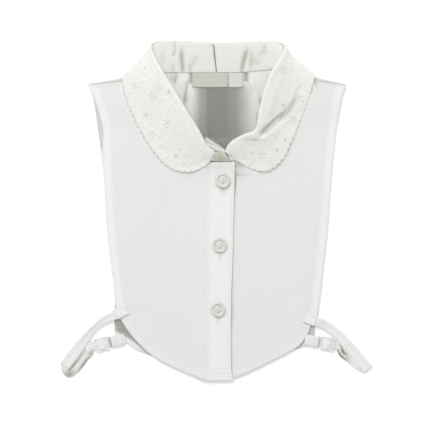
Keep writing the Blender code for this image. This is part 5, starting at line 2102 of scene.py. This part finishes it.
    def turned_end(self, grid: Array) -> None:
        """The strap's end, turned and box-stitched to the front."""
        name = self.side.name.lower()
        first = self.stations()[:9]
        rise = np.array([0, 0, 0.66])
        share = np.linspace(-0.5, 0.5, 26)
        middles = evenly(np.array([one.middle for one in first]), 0.34)
        across = first[4].across
        block = middles[:, None] + across * (share[None, :, None] * (self.width + 2 * self.extra)) + rise
        ribs = 0.05 * np.cos(share * 2 * math.pi * 5)
        block[..., 2] += ribs[None]
        parts = Parts()
        Shell(block, 0.2, 0.2, 0.7).add_to(parts)
        made = parts.built(f"turned_end_{name}", RIBBED_ELASTIC)
        seam = Seam(Surface(made), pitch=1.6, length=1.15)
        rows, columns = block.shape[:2]
        box = [block[2, 3], block[2, columns - 4], block[rows - 3, columns - 4], block[rows - 3, 3], block[2, 3]]
        for here, there in zip(box[:-1], box[1:]):
            seam.sew(np.array([here[:2], there[:2]]))
        seam.sew(np.array([box[0][:2], box[2][:2]]))
        stitches = seam.built(f"turned_end_{name}_stitches")
        cut = Cut((10.0, 10.0), "folded", (f"elastic_{name}",), 74)
        hand_over(made, [f"patch_{name}"], cut, [stitches])

    def gathered_tab(self) -> None:
        """The gathered end of the back's hem that holds the elastic."""
        name = self.side.name.lower()
        heading = self.heading()
        across = np.array([heading[1], -heading[0], 0.0])
        level = self.layers.lowest + 1.85 * self.layers.step
        along = np.linspace(-self.tab_reach, self.tab_reach, 60)
        share = np.linspace(-0.5, 0.5, 34)
        middle = np.column_stack([np.array(self.tab) + heading * along[:, None], np.full(len(along), level)])
        grid = middle[:, None] + across * (share[None, :, None] * (self.width + 2 * self.extra))
        gathers = self.gathers * np.cos(along[:, None] * 2 * math.pi / 2.35 + 1.4 * share[None] + 0.6 * np.sin(7 * share)[None])
        grid[..., 2] += gathers * (1.0 - 0.35 * np.abs(2 * share)[None]) - 0.5 * np.abs(2 * share)[None] ** 4
        grid[..., 2] -= 1.35 * eased((along - 2.0) / 2.8)[:, None]
        made = cloth(f"tab_{name}_cloth", Shell(grid, 0.3, 0.3, 0.8), POPLIN, 0.35)
        seam = Seam(Surface(made), pitch=1.5, length=1.1)
        for place in (14, 20):
            seam.sew(grid[place, 2:-2, :2])
        stitches = seam.built(f"tab_{name}_stitches")
        cut = Cut((10.0, 10.0), "gathered", ("back_cloth",), 86)
        hand_over(made, [f"back_tab_{name}"], cut, [stitches])

    def clear_slider(self) -> None:
        """The clear frame with a bar across its middle."""
        name = self.side.name.lower()
        bar = self.bar
        inside = self.width / 2 + self.side_play
        ahead = [0.5 * bar, 0.5 * bar + self.slot, 1.5 * bar + self.slot]
        xs = [-x for x in reversed(ahead)] + ahead
        ys = [-inside - bar, -inside, inside, inside + bar]
        shape = bmesh.new()
        floor = [[shape.verts.new((x * MM, y * MM, -bar / 2 * MM)) for y in ys] for x in xs]
        faces = []
        for i in range(len(xs) - 1):
            for j in range(len(ys) - 1):
                if (i, j) not in ((1, 1), (3, 1)):
                    corners = (floor[i][j], floor[i + 1][j], floor[i + 1][j + 1], floor[i][j + 1])
                    faces.append(shape.faces.new(corners))
        raised = bmesh.ops.extrude_face_region(shape, geom=faces)["geom"]
        moved = [piece for piece in raised if isinstance(piece, bmesh.types.BMVert)]
        bmesh.ops.translate(shape, verts=moved, vec=(0, 0, bar * MM))
        bmesh.ops.recalc_face_normals(shape, faces=shape.faces)
        mesh = bpy.data.meshes.new(f"slider_{name}_clear")
        shape.to_mesh(mesh)
        shape.free()
        made = bpy.data.objects.new(mesh.name, mesh)
        bpy.context.scene.collection.objects.link(made)
        rounded = made.modifiers.new("rounded", "BEVEL")
        rounded.width = 0.42 * MM
        rounded.segments = 4
        settle(made)
        turn = math.atan2(self.heading()[1], self.heading()[0])
        place = Vector((self.slider[0] * MM, self.slider[1] * MM, (1.3 + bar / 2) * MM))
        for vertex in made.data.vertices:
            x, y, z = vertex.co
            spun = Vector((x * math.cos(turn) - y * math.sin(turn), x * math.sin(turn) + y * math.cos(turn), z))
            vertex.co = spun + place
        made.data.materials.append(material_of(CLEAR_PLASTIC))
        made.data.shade_smooth()
        hand_over(made, [f"slider_{name}"])


def settle(piece: bpy.types.Object) -> None:
    """Apply a piece's modifiers to its mesh."""
    bpy.context.view_layer.update()
    seen = piece.evaluated_get(bpy.context.evaluated_depsgraph_get())
    mesh = bpy.data.meshes.new_from_object(seen)
    piece.modifiers.clear()
    piece.data = mesh


# Buttons and labels


@dataclass
class Button:
    """A pearly button with a raised rim, two holes and the thread through them."""

    place: str
    x: float
    y: float
    layers: Layers
    lean: float = 0.0  # how its threads slant, in degrees
    radius: float = 5.6
    height: float = 2.2
    sides: int = 56
    hole: float = 0.8
    hole_offset: float = 1.4
    rings: tuple[Spot, ...] = (
        (0.0, 0.0),
        (0.78, 0.0),
        (0.88, 0.05),
        (0.96, 0.2),
        (1.0, 0.5),
        (0.985, 0.75),
        (0.94, 0.93),
        (0.87, 1.0),
        (0.79, 0.98),
        (0.72, 0.88),
        (0.66, 0.66),
        (0.6, 0.48),
        (0.52, 0.44),
        (0.45, 0.56),
        (0.38, 0.68),
        (0.2, 0.72),
        (0.0, 0.72),
    )

    def seat(self) -> float:
        """The height at which it clears the placket all round."""
        angles = np.linspace(0, 2 * math.pi, 12, endpoint=False)
        around_x = self.x + self.radius * np.cos(angles)
        around_y = self.y + self.radius * np.sin(angles)
        return float(self.layers.placket(around_x, around_y).max()) + 0.62

    def build(self) -> bpy.types.Object:
        """Make and dress it."""
        seat = self.seat()
        parts = Parts()
        angles = np.linspace(0, 2 * math.pi, self.sides, endpoint=False)
        points = [(0.0, 0.0, 0.0)]
        for share, level in self.rings[1:-1]:
            outline = np.column_stack([np.cos(angles), np.sin(angles)]) * share * self.radius
            points += [(px, py, level * self.height) for px, py in outline]
        points.append((0.0, 0.0, self.rings[-1][1] * self.height))
        faces = []
        rings = len(self.rings) - 2
        for i in range(rings - 1):
            for j in range(self.sides):
                k = (j + 1) % self.sides
                faces.append((1 + i * self.sides + j, 1 + i * self.sides + k, 1 + (i + 1) * self.sides + k, 1 + (i + 1) * self.sides + j))
        last = 1 + (rings - 1) * self.sides
        for j in range(self.sides):
            k = (j + 1) % self.sides
            faces.append((0, 1 + k, 1 + j))
            faces.append((last + j, last + k, len(points) - 1))
        parts.add(np.array(points) + np.array([self.x, self.y, seat]), faces)
        made = parts.built(f"button_{self.place}_pearl", PEARL)
        self.drill(made, seat)
        made.data.set_sharp_from_angle(angle=math.radians(50))
        thread = self.threads(seat)
        hand_over(made, [f"button_{self.place}"])
        hand_over(thread)
        return made

    def drill(self, made: bpy.types.Object, seat: float) -> None:
        """Cut the two holes."""
        for way in (-1, 1):
            bpy.ops.mesh.primitive_cylinder_add(vertices=20, radius=self.hole * MM, depth=9 * MM)
            cutter = bpy.context.object
            cutter.location = (self.x * MM, (self.y + way * self.hole_offset) * MM, (seat + 1) * MM)
            cut = made.modifiers.new("hole", "BOOLEAN")
            cut.operation = "DIFFERENCE"
            cut.object = cutter
            settle(made)
            bpy.data.objects.remove(cutter)

    def threads(self, seat: float) -> bpy.types.Object:
        """Two bars of thread over the middle, down into the holes."""
        parts = Parts()
        top = seat + self.height * 0.74
        for offset in (-0.42, 0.42):
            lean = math.sin(math.radians(self.lean)) * 0.9
            u = np.linspace(-1, 1, 25)
            line = np.column_stack(
                [
                    self.x + offset + lean * u,
                    self.y + u * self.hole_offset * 1.45,
                    top + 0.32 - 1.5 * np.clip(np.abs(u) - 0.78, 0, 1) ** 1.2 * 4.0,
                ]
            )
            tube(parts, line, 0.4 + 0.03 * np.cos(u * 9), 8, np.array([0.0, 0.0, 1.0]))
        return parts.built(f"button_{self.place}_thread", SEWING_THREAD)


@dataclass
class Label:
    """A blank woven tape sewn in at the back neck."""

    name: str
    node: str
    low_x: float
    high_x: float
    finish: Satin
    layers: Layers
    top_y: float = 104.9
    foot_y: float = 94.4
    ply: float = 0.5
    sag: float = 0.25

    def build(self) -> bpy.types.Object:
        """Make and dress it."""
        columns, rows = max(20, int((self.high_x - self.low_x) / 0.4)), 30
        x, y = np.meshgrid(np.linspace(self.low_x, self.high_x, columns), np.linspace(self.top_y, self.foot_y, rows))
        share = (x - self.low_x) / (self.high_x - self.low_x)
        down = (self.top_y - y) / (self.top_y - self.foot_y)
        z = self.layers.back(x, y) + self.layers.step * 0.8 + 0.25 * np.sin(math.pi * share) * down
        y = y - self.sag * np.sin(math.pi * share) * down
        made = cloth(self.name, Shell(np.dstack([x, y, z]), self.ply / 2, self.ply / 2, 0.9), self.finish)
        seam = Seam(Surface(made), pitch=1.6, length=1.2)
        seam.sew(np.array([(self.low_x + 0.8, self.top_y - 1.3), (self.high_x - 0.8, self.top_y - 1.3)]))
        stitches = seam.built(f"{self.name}_stitches")
        width, length = self.high_x - self.low_x, self.top_y - self.foot_y
        hand_over(made, [self.node], Cut((max(width, 10.0), length), "laid", ("back_cloth",), width * length), [stitches])
        return made


# Studio


@dataclass
class Studio:
    """A pale floor, soft light and the camera straight above."""

    aim_x: float = 6.46
    aim_y: float = -8.74
    height: float = 2000.0
    across: float = 338.2
    aim_z: float = 4.0

    def floor(self) -> None:
        """A pale floor under the garment."""
        bpy.ops.mesh.primitive_plane_add(size=8.0, location=(0, 0, -0.0002))
        floor = bpy.context.object
        floor.name = "studio_floor"
        graph = Graph("studio_floor_paint")
        graph.set("Base Color", (0.9, 0.9, 0.9, 1.0))
        graph.set("Roughness", 0.9)
        graph.set("Specular IOR Level", 0.0)
        graph.set("Emission Color", (1.0, 1.0, 1.0, 1.0))
        graph.set("Emission Strength", 0.14)
        floor.data.materials.append(graph.material)

    def lamp(self, name: str, place: tuple[float, float, float], size: float, power: float) -> None:
        """Hang a soft lamp that faces the garment.

        Args:
            name: The lamp's name.
            place: Where it hangs, in metres.
            size: Its side, in metres.
            power: Its power in watts.
        """
        light = bpy.data.lights.new(name, "AREA")
        light.size = size
        light.energy = power
        made = bpy.data.objects.new(name, light)
        made.location = place
        made.rotation_euler = (Vector((0, 0, 0)) - Vector(place)).to_track_quat("-Z", "Y").to_euler()
        bpy.context.scene.collection.objects.link(made)

    def build(self) -> None:
        """Set the whole studio."""
        scene = bpy.context.scene
        scene.view_settings.view_transform = "Standard"
        world = scene.world or bpy.data.worlds.new("soft_sky")
        scene.world = world
        world.use_nodes = True
        sky = world.node_tree.nodes["Background"]
        sky.inputs["Color"].default_value = (1.0, 1.0, 1.0, 1.0)
        sky.inputs["Strength"].default_value = 0.62
        self.floor()
        self.lamp("key_lamp", (-0.35, 0.95, 1.35), 0.9, 14.0)
        self.lamp("top_lamp", (0.1, 0.3, 2.6), 1.4, 7.0)
        lens = bpy.data.cameras.new("camera")
        lens.sensor_width = 36.0
        lens.lens = 36.0 * (self.height - self.aim_z) / self.across
        lens.clip_end = 20.0
        camera = bpy.data.objects.new("camera", lens)
        camera.location = (self.aim_x * MM, self.aim_y * MM, self.height * MM)
        scene.collection.objects.link(camera)
        scene.camera = camera


RIGHT_ORNAMENTS = (
    Ornament(Motif.EYELET, -52.4, 108.7, 0, 0.8),
    Ornament(Motif.FLOWER, -60.8, 95.8, 10, 0.85),
    Ornament(Motif.EYELET, -56.2, 93.6, 0, 0.6),
    Ornament(Motif.FLOWER, -46.5, 88.6, 25),
    Ornament(Motif.RING, -34.2, 90.4, 0, 0.8),
    Ornament(Motif.EYELET, -63.4, 79.2, 0, 0.7),
    Ornament(Motif.RING, -51.7, 73.0, 20, 0.9),
    Ornament(Motif.EYELET, -47.1, 73.0, 0, 0.5),
    Ornament(Motif.FLOWER, -35.4, 66.4, 30),
    Ornament(Motif.SPRIG, -30.0, 81.3, 30, 0.9),
    Ornament(Motif.SPRIG, -22.6, 66.9, -20, 0.9),
    Ornament(Motif.FLOWER, -47.1, 58.5, 50, 0.9),
    Ornament(Motif.DAISY, -38.8, 48.6, 10),
    Ornament(Motif.EYELET, -25.8, 47.1, 0, 0.9),
    Ornament(Motif.EYELET, -20.9, 42.2, 0, 1.0),
    Ornament(Motif.RING, -29.2, 41.6, 15, 0.8),
    Ornament(Motif.EYELET, -10.6, 46.2, 0, 0.6),
    Ornament(Motif.EYELET, -8.2, 41.0, 0, 0.6),
    Ornament(Motif.DAISY, -22.6, 35.8, 20, 0.8),
    Ornament(Motif.SPRIG, -15.6, 36.4, 10, 0.8),
    Ornament(Motif.SPRIG, -41.0, 99.6, 70, 0.9),
    Ornament(Motif.EYELET, -42.6, 80.2, 0, 0.5),
    Ornament(Motif.SPRIG, -56.6, 84.4, 60, 0.9),
    Ornament(Motif.SPRIG, -29.5, 54.6, -40),
    Ornament(Motif.EYELET, -14.8, 55.0, 0, 0.6),
    Ornament(Motif.EYELET, -54.4, 63.8, 0, 0.6),
    Ornament(Motif.EYELET, -33.6, 75.4, 0, 0.5),
    Ornament(Motif.EYELET, -48.6, 101.0, 0, 0.55),
    Ornament(Motif.EYELET, -40.0, 57.4, 0, 0.5),
    Ornament(Motif.EYELET, -19.4, 58.8, 0, 0.5),
    Ornament(Motif.EYELET, -36.4, 40.4, 0, 0.6),
)
LEFT_ORNAMENTS = (
    Ornament(Motif.FLOWER, 52.4, 107.0, 15, 0.9),
    Ornament(Motif.EYELET, 60.5, 108.0, 0, 0.6),
    Ornament(Motif.SPRIG, 65.3, 101.0, 60, 0.8),
    Ornament(Motif.EYELET, 57.6, 98.5, 0, 0.6),
    Ornament(Motif.EYELET, 50.0, 96.0, 0, 0.6),
    Ornament(Motif.FLOWER, 64.6, 85.8, 15),
    Ornament(Motif.RING, 52.4, 80.2, 0, 0.8),
    Ornament(Motif.EYELET, 46.0, 86.0, 0, 0.6),
    Ornament(Motif.FLOWER, 59.8, 70.0, 40, 0.9),
    Ornament(Motif.EYELET, 70.2, 91.5, 0, 0.6),
    Ornament(Motif.EYELET, 65.4, 76.5, 0, 0.6),
    Ornament(Motif.EYELET, 43.2, 73.5, 0, 0.6),
    Ornament(Motif.EYELET, 40.6, 59.6, 0, 0.9),
    Ornament(Motif.EYELET, 38.0, 53.6, 0, 0.8),
    Ornament(Motif.DAISY, 47.0, 57.0, 15),
    Ornament(Motif.RING, 54.0, 54.4, 0, 0.8),
    Ornament(Motif.FLOWER, 36.2, 42.8, 5),
    Ornament(Motif.RING, 47.6, 46.0, 0, 0.8),
    Ornament(Motif.EYELET, 28.4, 44.4, 0, 0.7),
    Ornament(Motif.EYELET, 22.2, 41.0, 0, 0.6),
    Ornament(Motif.SPRIG, 28.4, 37.0, 10, 0.8),
    Ornament(Motif.EYELET, 43.4, 37.2, 0, 0.6),
    Ornament(Motif.EYELET, 42.4, 50.0, 0, 0.5),
    Ornament(Motif.SPRIG, 20.4, 47.2, 20, 0.8),
    Ornament(Motif.EYELET, 28.6, 50.6, 0, 0.55),
)
HIDDEN_RIGHT = (
    Ornament(Motif.FLOWER, -14.0, 112.0),
    Ornament(Motif.RING, -28.0, 104.0),
    Ornament(Motif.EYELET, -22.0, 116.0),
    Ornament(Motif.DAISY, -38.0, 112.0),
    Ornament(Motif.FLOWER, -48.0, 104.0, 25),
    Ornament(Motif.EYELET, -8.0, 101.0),
)
HIDDEN_LEFT = (
    Ornament(Motif.FLOWER, 14.0, 111.0, 15),
    Ornament(Motif.RING, 27.0, 103.0),
    Ornament(Motif.EYELET, 21.0, 116.0),
    Ornament(Motif.DAISY, 38.0, 112.0),
    Ornament(Motif.FLOWER, 50.0, 104.0),
    Ornament(Motif.EYELET, 9.0, 101.0),
)

BACK_CREASES = (
    Crease((-24.5, 105.5), (-27.4, 94.0), 0.7, 1.4),
    Crease((-28.4, 105.5), (-30.4, 95.0), -0.9, 1.3),
    Crease((-32.0, 105.5), (-32.6, 98.0), -0.7, 0.9),
    Crease((-21.0, 103.0), (-24.6, 86.0), 1.4, 1.5, 0.5),
    Crease((-17.2, 107.5), (-17.6, 95.0), -1.1, 1.3),
    Crease((-19.8, 101.0), (-22.6, 78.0), -1.0, 1.7, 0.4),
    Crease((-20.0, 97.0), (-10.4, 65.0), 1.1, 3.0, -1.2),
    Crease((24.2, 107.5), (24.8, 97.0), -1.2, 1.9),
    Crease((25.2, 99.0), (31.8, 86.0), -0.5, 1.2),
    Crease((27.2, 101.0), (34.0, 83.0), 1.1, 2.0, -0.7),
    Crease((30.6, 97.5), (37.0, 77.0), -0.6, 1.6, -0.5),
    Crease((33.5, 76.0), (33.6, 62.0), -0.6, 1.3),
    Crease((19.0, 92.0), (23.5, 60.0), 0.7, 5.5, 1.2),
    Crease((3.0, 92.5), (5.4, 50.0), 0.4, 1.3, 0.2),
    Crease((-40.0, -40.0), (30.0, -70.0), 0.25, 9.0, 4.0),
)
RIGHT_FRONT_CREASES = (
    Crease((-30.0, 40.0), (-62.0, -30.0), 0.34, 7.0, 3.0),
    Crease((-14.0, 10.0), (-34.0, -66.0), 0.28, 6.0, -3.0),
    Crease((-66.0, 70.0), (-72.0, 10.0), 0.3, 6.0, 2.0),
    Crease((-44.0, 14.0), (-20.0, -8.0), -0.16, 5.0, 1.0),
    Crease((-60.0, -40.0), (-32.0, -84.0), 0.26, 7.0, 2.0),
    Crease((-70.0, -62.0), (-48.0, -74.0), 0.3, 4.0, 1.5),
)
LEFT_FRONT_CREASES = (
    Crease((32.0, 26.0), (66.0, -22.0), 0.3, 8.0, -3.0),
    Crease((72.0, 70.0), (78.0, 8.0), 0.28, 6.0, -2.0),
    Crease((26.0, -10.0), (36.0, -80.0), 0.3, 7.0, 3.0),
    Crease((44.0, 0.0), (58.0, -60.0), -0.16, 6.0, 2.0),
    Crease((73.0, -64.0), (46.0, -86.0), 0.3, 4.5, -1.5),
)
PLACKET_CREASES = (
    Crease((16.4, 38.0), (15.6, 12.0), 1.3, 2.2),
    Crease((14.8, -66.0), (14.4, -92.0), 0.9, 2.0),
    Crease((15.4, -108.0), (15.8, -127.0), 0.8, 2.4),
    Crease((15.2, -10.0), (14.8, -34.0), 0.35, 1.8),
    Crease((-4.0, -39.0), (13.0, -37.5), 0.16, 1.2),
    Crease((12.5, 8.0), (11.0, -40.0), 0.14, 2.0, 0.5),
    Crease((0.0, -90.0), (8.0, -122.0), 0.18, 3.0, 0.8),
)
RIGHT_STAND_CREASES = (
    Crease((-30.0, 131.5), (-30.0, 122.5), -1.3, 0.8),
    Crease((-28.4, 124.5), (-31.6, 116.6), -0.8, 0.9),
    Crease((-27.0, 125.0), (-28.2, 109.0), 1.0, 1.3),
    Crease((-25.2, 125.5), (-23.4, 103.5), -1.6, 1.5),
    Crease((-12.4, 118.6), (-17.6, 108.6), -0.5, 1.3),
    Crease((-18.4, 113.0), (-18.0, 104.0), -0.7, 1.1),
    Crease((-20.9, 115.0), (-20.4, 103.0), 0.5, 1.1),
    Crease((-39.4, 124.0), (-38.6, 108.0), -0.3, 1.6),
    Crease((-31.6, 113.0), (-31.0, 103.0), -0.4, 1.6),
    Crease((-3.6, 128.8), (-0.6, 123.6), -1.0, 0.9),
)
LEFT_STAND_CREASES = (
    Crease((25.8, 125.0), (20.4, 103.0), -1.6, 1.5, 0.4),
    Crease((19.0, 122.0), (17.6, 104.0), 0.5, 1.6),
    Crease((28.6, 124.0), (28.0, 106.0), -0.5, 1.6),
    Crease((27.4, 115.0), (36.0, 112.0), -0.35, 3.2),
    Crease((31.9, 126.0), (31.8, 118.0), 0.6, 1.4),
    Crease((38.2, 127.5), (38.2, 121.5), -1.0, 1.0),
    Crease((33.6, 119.6), (41.5, 120.4), -0.45, 2.0),
)
RIGHT_LEAF_CREASES = (
    Crease((-56.0, 88.0), (-30.0, 50.0), 0.4, 6.0, 1.0),
    Crease((-24.0, 66.0), (-14.0, 46.0), 0.5, 3.0),
    Crease((-40.0, 98.0), (-48.0, 80.0), -0.35, 4.0),
)
LEFT_LEAF_CREASES = (
    Crease((52.0, 104.0), (37.0, 62.0), 0.9, 3.4, 0.8),
    Crease((60.0, 60.0), (36.0, 36.0), 0.5, 5.0, -1.5),
    Crease((38.0, 53.4), (17.5, 54.4), -1.3, 1.4),
)
BUTTONS = {"top": (6.6, 23.2, 8.0), "middle": (4.4, -26.0, 3.0), "bottom": (3.1, -74.9, -25.0)}


def main() -> None:
    """Build the dickey on its frame, piece by piece."""
    logging.basicConfig(level=logging.INFO, format="%(message)s")
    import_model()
    layers = Layers()
    Studio().build()
    Back(layers, creases=BACK_CREASES).build()
    LeftFront(layers, creases=LEFT_FRONT_CREASES).build()
    RightFront(layers, creases=RIGHT_FRONT_CREASES).build()
    Placket(layers, creases=PLACKET_CREASES, buttons=tuple((x, y) for x, y, _ in BUTTONS.values())).build()
    CollarHalf(
        Side.RIGHT,
        RIGHT_ROLL,
        RIGHT_EDGE,
        RIGHT_SEAM,
        Valley(((-60.0, 94.0), (-52.0, 80.0), (-42.0, 62.0)), 0.5, 9.0),
        layers.right_front,
        layers,
        RIGHT_STAND_CREASES,
        RIGHT_LEAF_CREASES,
        RIGHT_ORNAMENTS,
        HIDDEN_RIGHT,
    ).build()
    CollarHalf(
        Side.LEFT,
        LEFT_ROLL,
        LEFT_EDGE,
        LEFT_SEAM,
        Valley(((68.0, 97.0), (62.6, 86.0), (57.0, 76.0), (48.2, 68.4), (41.0, 62.4), (32.0, 54.6)), 5.6, 4.2, 1.4),
        layers.left_front,
        layers,
        LEFT_STAND_CREASES,
        LEFT_LEAF_CREASES,
        LEFT_ORNAMENTS,
        HIDDEN_LEFT,
    ).build()
    Neckband().build()
    StrapSide(
        Side.RIGHT,
        RIGHT_OUTWARD,
        RIGHT_RETURN,
        RIGHT_SLIDER,
        RIGHT_TAB,
        layers,
        outward_rolls=((0.0, 0.0), (0.2, -8.0), (0.45, -24.0), (0.7, -8.0), (1.0, 0.0)),
        outward_widths=((0.0, 1.0), (0.2, 0.84), (0.4, 0.66), (0.52, 0.7), (0.7, 1.0), (1.0, 1.0)),
        return_rolls=((0.0, 0.0), (0.2, 12.0), (0.6, 24.0), (0.85, 16.0), (1.0, 0.0)),
        return_widths=((0.0, 0.75), (0.15, 0.6), (0.35, 0.84), (0.7, 0.84), (1.0, 0.95)),
        shadows=(
            (0.65, 0.10, -1.0, 0.26, 0.9),
            (0.70, 0.07, 1.0, 0.5, 0.9),
            (0.768, 0.02, 0.45, 0.6, 0.5),
            (0.59, 0.035, 0.1, 1.5, 0.62),
            (0.94, 0.012, 0.0, 2.0, 0.55),
        ),
        gathers=0.2,
    ).build()
    StrapSide(
        Side.LEFT,
        LEFT_OUTWARD,
        LEFT_RETURN,
        LEFT_SLIDER,
        LEFT_TAB,
        layers,
        outward_rolls=((0.0, 0.0), (0.2, 10.0), (0.5, 12.0), (1.0, 0.0)),
        outward_widths=((0.0, 0.9), (0.25, 0.82), (0.5, 0.92), (1.0, 1.0)),
        return_rolls=((0.0, 0.0), (0.5, -20.0), (0.8, -30.0), (1.0, 0.0)),
        return_widths=((0.0, 1.0), (0.6, 0.9), (1.0, 0.95)),
        shadows=(
            (0.752, 0.042, 0.25, 0.36, 0.95),
            (0.74, 0.055, -0.95, 0.45, 0.95),
            (0.70, 0.02, -0.4, 0.5, 0.35),
            (0.12, 0.03, 0.0, 1.5, 0.12),
            (0.94, 0.012, 0.0, 2.0, 0.25),
        ),
        gathers=0.05,
    ).build()
    for place, (x, y, lean) in BUTTONS.items():
        Button(place, x, y, layers, lean).build()
    Label("label_neck", "neck_label", -16.4, 10.3, LABEL_TAPE, layers).build()
    Label("label_size", "size_tag", 11.4, 21.8, SIZE_TAPE, layers).build()


if __name__ == "__main__":
    main()
